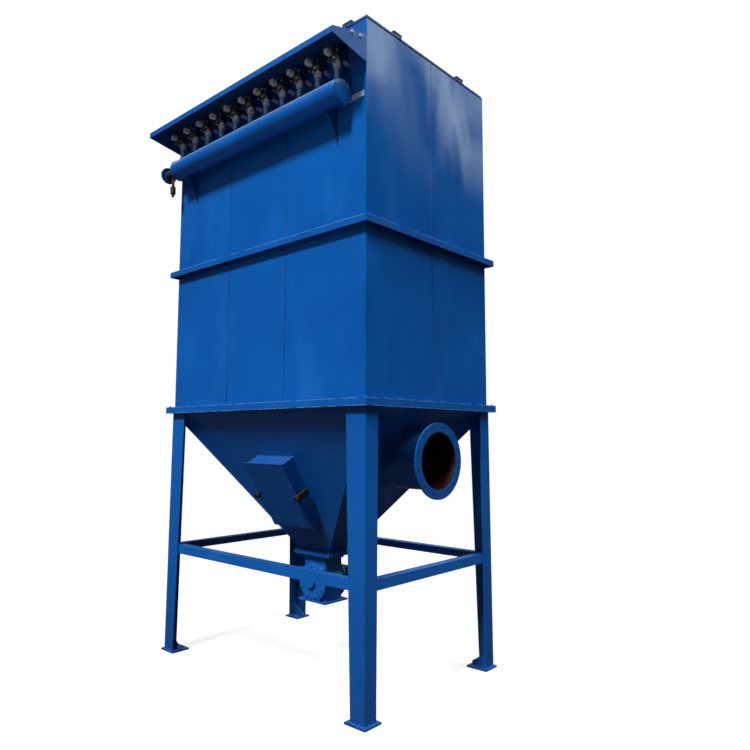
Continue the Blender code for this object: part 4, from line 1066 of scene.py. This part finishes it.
grow(
    "motor_fins", fin_plan, points_mesh(fin_places), {"Fin Length": 0.135, "Fin Height": 0.008},
    dark_iron, seed=51,
)

# %% [markdown]
# ## The camera of the photograph
# The camera stands at a person's eye height, to the right of the front face, and looks a
# little up. Its place and lens were solved from the corners of the casing, legs and
# beams, so the model lines up with the photograph.

# %% Make the camera
SENSOR_WIDTH = 36.0
FOCAL_SHARE = 648.437 / 750
lens = bpy.data.cameras.new("camera")
lens.sensor_width = SENSOR_WIDTH
lens.lens = FOCAL_SHARE * SENSOR_WIDTH
lens.clip_start, lens.clip_end = 0.05, 200.0
camera = placed("camera", lens)
camera.location = (3.66949, -3.53324 + MID_Y, 1.65503)
right_way = Vector((0.74713556, 0.66466866, 0.00200794))
up_way = Vector((0.06233323, -0.07307406, 0.99537669))
back_way = right_way.cross(up_way)
camera.rotation_euler = Matrix((right_way, up_way, back_way)).transposed().to_euler()
bpy.context.scene.camera = camera
print("camera at", tuple(round(v, 3) for v in camera.location))

# %% [markdown]
# ## Floor
# The background is white, so the camera sees a floor that glows white. Near the machine
# it glows a little less and takes light like paper, so that the shadow of the legs shows.
# Light that bounces meets a nearly black floor instead, because a white one would throw
# its light up under the hopper and the canopy.

# %% Make the floor
FLOOR_HALF = 60.0
FLOOR_GLOW = 0.80
SHADOW_NEAR, SHADOW_FAR = 2.2, 6.0
floor_shape = bmesh.new()
bmesh.ops.create_grid(floor_shape, x_segments=1, y_segments=1, size=FLOOR_HALF)
floor_mesh = bpy.data.meshes.new("floor")
floor_shape.to_mesh(floor_mesh)
floor_shape.free()
floor = placed("floor", floor_mesh)
ground = Recipe("studio_floor")
ground.put((0.03, 0.03, 0.03), ground.shader["Base Color"])
ground.put(0.9, ground.shader["Roughness"])
ground.put(0.0, ground.shader["Specular IOR Level"])
floor_reach = ground.vector("LENGTH", ground.where)["Value"]
glow_share = ground.span(floor_reach, SHADOW_NEAR, SHADOW_FAR, FLOOR_GLOW, 1.0)
paper = ground.node("ShaderNodeBsdfDiffuse", {"Color": (0.85, 0.85, 0.85)}).outputs[0]
glow = ground.node("ShaderNodeEmission", {"Color": (1.0, 1.0, 1.0), "Strength": 1.0}).outputs[0]
seen = ground.node("ShaderNodeMixShader", {"Fac": glow_share, 1: paper, 2: glow}).outputs[0]
camera_sees = ground.node("ShaderNodeLightPath").outputs["Is Camera Ray"]
dark_floor = ground.tree.nodes["Principled BSDF"].outputs[0]
final = ground.node("ShaderNodeMixShader", {"Fac": camera_sees, 1: dark_floor, 2: seen}).outputs[0]
ground.put(final, ground.tree.nodes["Material Output"].inputs["Surface"])
floor_mesh.materials.append(ground.material)
print("floor", 2 * FLOOR_HALF, "m wide")

# %% [markdown]
# ## Sky
# The camera sees a white world. The paint is lit by a dim even sky and mirrors another
# one: dark low down, which keeps the blue deep, and paler overhead. On the right wall
# the photograph shows a slanting pattern of bright clouds. A cloud picture could be hung
# up for it, but soft bands in the right part of the sky give the same pattern, and they
# are written as sums of the direction that the paint mirrors. Fainter clouds stand
# behind the machine, so that its back and left walls are not flat.

# %% Make the sky
world = bpy.data.worlds.new("studio")
world.use_nodes = True
bpy.context.scene.world = world
sky_plan = Wiring(world.node_tree)
span, times, sums = sky_plan.span, sky_plan.times, sky_plan.math
background = world.node_tree.nodes["Background"].inputs
way = sky_plan.node("ShaderNodeTexCoord").outputs["Generated"]
way_x, way_y, way_z = sky_plan.apart(way)
path = sky_plan.node("ShaderNodeLightPath").outputs
soft_light = span(way_z, -0.05, 0.9, 0.05, 0.26)
drift = sky_plan.noise(way, 5.0)


def band(across, centre, half):
    """A soft band of light, brightest along its middle."""
    away = sums("ABSOLUTE", sums("SUBTRACT", across, centre))
    return span(away, 0.25 * half, half, 1.0, 0.0)


rightward = sums("MAXIMUM", way_x, 0.08)
along_sky = sums("DIVIDE", way_y, rightward)
above = sums("DIVIDE", way_z, rightward)
slant = sums("ADD", times(along_sky, 1.2), above)
slant = sums("ADD", slant, span(drift, 0.3, 0.7, -0.08, 0.08))
clouds = (
    (band(slant, 2.26, 0.13), span(above, 0.62, 0.88, 0.0, 0.9)),
    (band(slant, 2.645, 0.13), span(above, 0.70, 0.86, 0.0, 3.2)),
    (band(slant, 2.89, 0.08), span(above, 0.86, 0.94, 0.0, 1.6)),
    (span(along_sky, 1.15, 1.25, 1.0, 0.0), span(above, 0.855, 0.89, 0.0, 2.3)),
    (span(above, 0.92, 1.04), span(drift, 0.40, 0.60, 0.0, 1.5)),
)
to_the_right = span(way_x, 0.28, 0.42)
right_sky = times(span(along_sky, 1.06, 1.10), to_the_right)
sky = span(way_z, 0.45, 0.80, 0.03, 0.7)
for across, height in clouds:
    sky = sums("ADD", sky, times(across, height, right_sky))
behind = span(way_y, -0.05, 0.45)
behind = times(behind, sums("SUBTRACT", 1.0, to_the_right))
far_clouds = times(
    span(drift, 0.38, 0.68, 0.05, 0.55), span(way_z, 0.10, 0.60)
)
sky = sums("ADD", sky, times(behind, far_clouds))
light = {"Factor": path["Is Glossy Ray"], "A": soft_light, "B": sky}
light = sky_plan.node("ShaderNodeMix", light, data_type="FLOAT").outputs["Result"]
shown = {"Factor": path["Is Camera Ray"], "A": light, "B": 1.0}
shown = sky_plan.node("ShaderNodeMix", shown, data_type="FLOAT").outputs["Result"]
sky_plan.put(shown, background["Strength"])
sky_tint = sky_plan.blend(path["Is Glossy Ray"], (1.0, 1.0, 1.0), (0.84, 1.0, 1.0))
sky_plan.put(sky_tint, background["Color"])
print("sky with", len(clouds), "clouds")

# %% [markdown]
# ## Lamps
# A broad soft lamp lights the front face and throws the canopy's shadow on it. A weaker
# one lights the right face and a third the back. A faint low one stands for the light
# that comes back from the yard, and a small lamp near the ground reaches in under the
# canopy to the valves. Only the front lamp shows in the glossy paint, because a real
# machine in the open mirrors one sun.

# %% Make the lamps


def far_lamp(name, towards, strength, softness, mirrored=False):
    """A distant soft lamp; towards is the way from the machine to the lamp."""
    lamp = bpy.data.lights.new(name, "SUN")
    lamp.energy = strength
    lamp.angle = math.radians(softness)
    made = placed(name, lamp)
    made.rotation_euler = Vector(towards).to_track_quat("Z", "Y").to_euler()
    made.visible_glossy = mirrored


far_lamp("front_lamp", (0.12, -1.0, 1.2), 4.35, 10.0, True)
far_lamp("right_lamp", (1.0, 0.5, 1.8), 2.70, 30.0)
far_lamp("yard_lamp", (0.15, -1.0, -0.05), 0.38, 60.0)
far_lamp("back_lamp", (-0.55, 1.0, 0.45), 2.2, 25.0)
LOW_LAMP_PLACE = Vector((1.9, -4.2 + MID_Y, 0.5))
LOW_LAMP_AIM = Vector((0.25, -0.8 + MID_Y, 4.15))
LOW_LAMP_WATTS = 128.0
LOW_LAMP_CONE = 36.0
low_lamp_light = bpy.data.lights.new("low_lamp", "SPOT")
low_lamp_light.energy = LOW_LAMP_WATTS
low_lamp_light.spot_size = math.radians(LOW_LAMP_CONE)
low_lamp_light.spot_blend = 1.0
low_lamp_light.shadow_soft_size = 0.35
low_lamp = placed("low_lamp", low_lamp_light)
low_lamp.location = LOW_LAMP_PLACE
low_lamp.rotation_euler = (LOW_LAMP_PLACE - LOW_LAMP_AIM).to_track_quat("Z", "Y").to_euler()
bpy.context.scene.view_settings.view_transform = "Standard"
print("lamps ready")
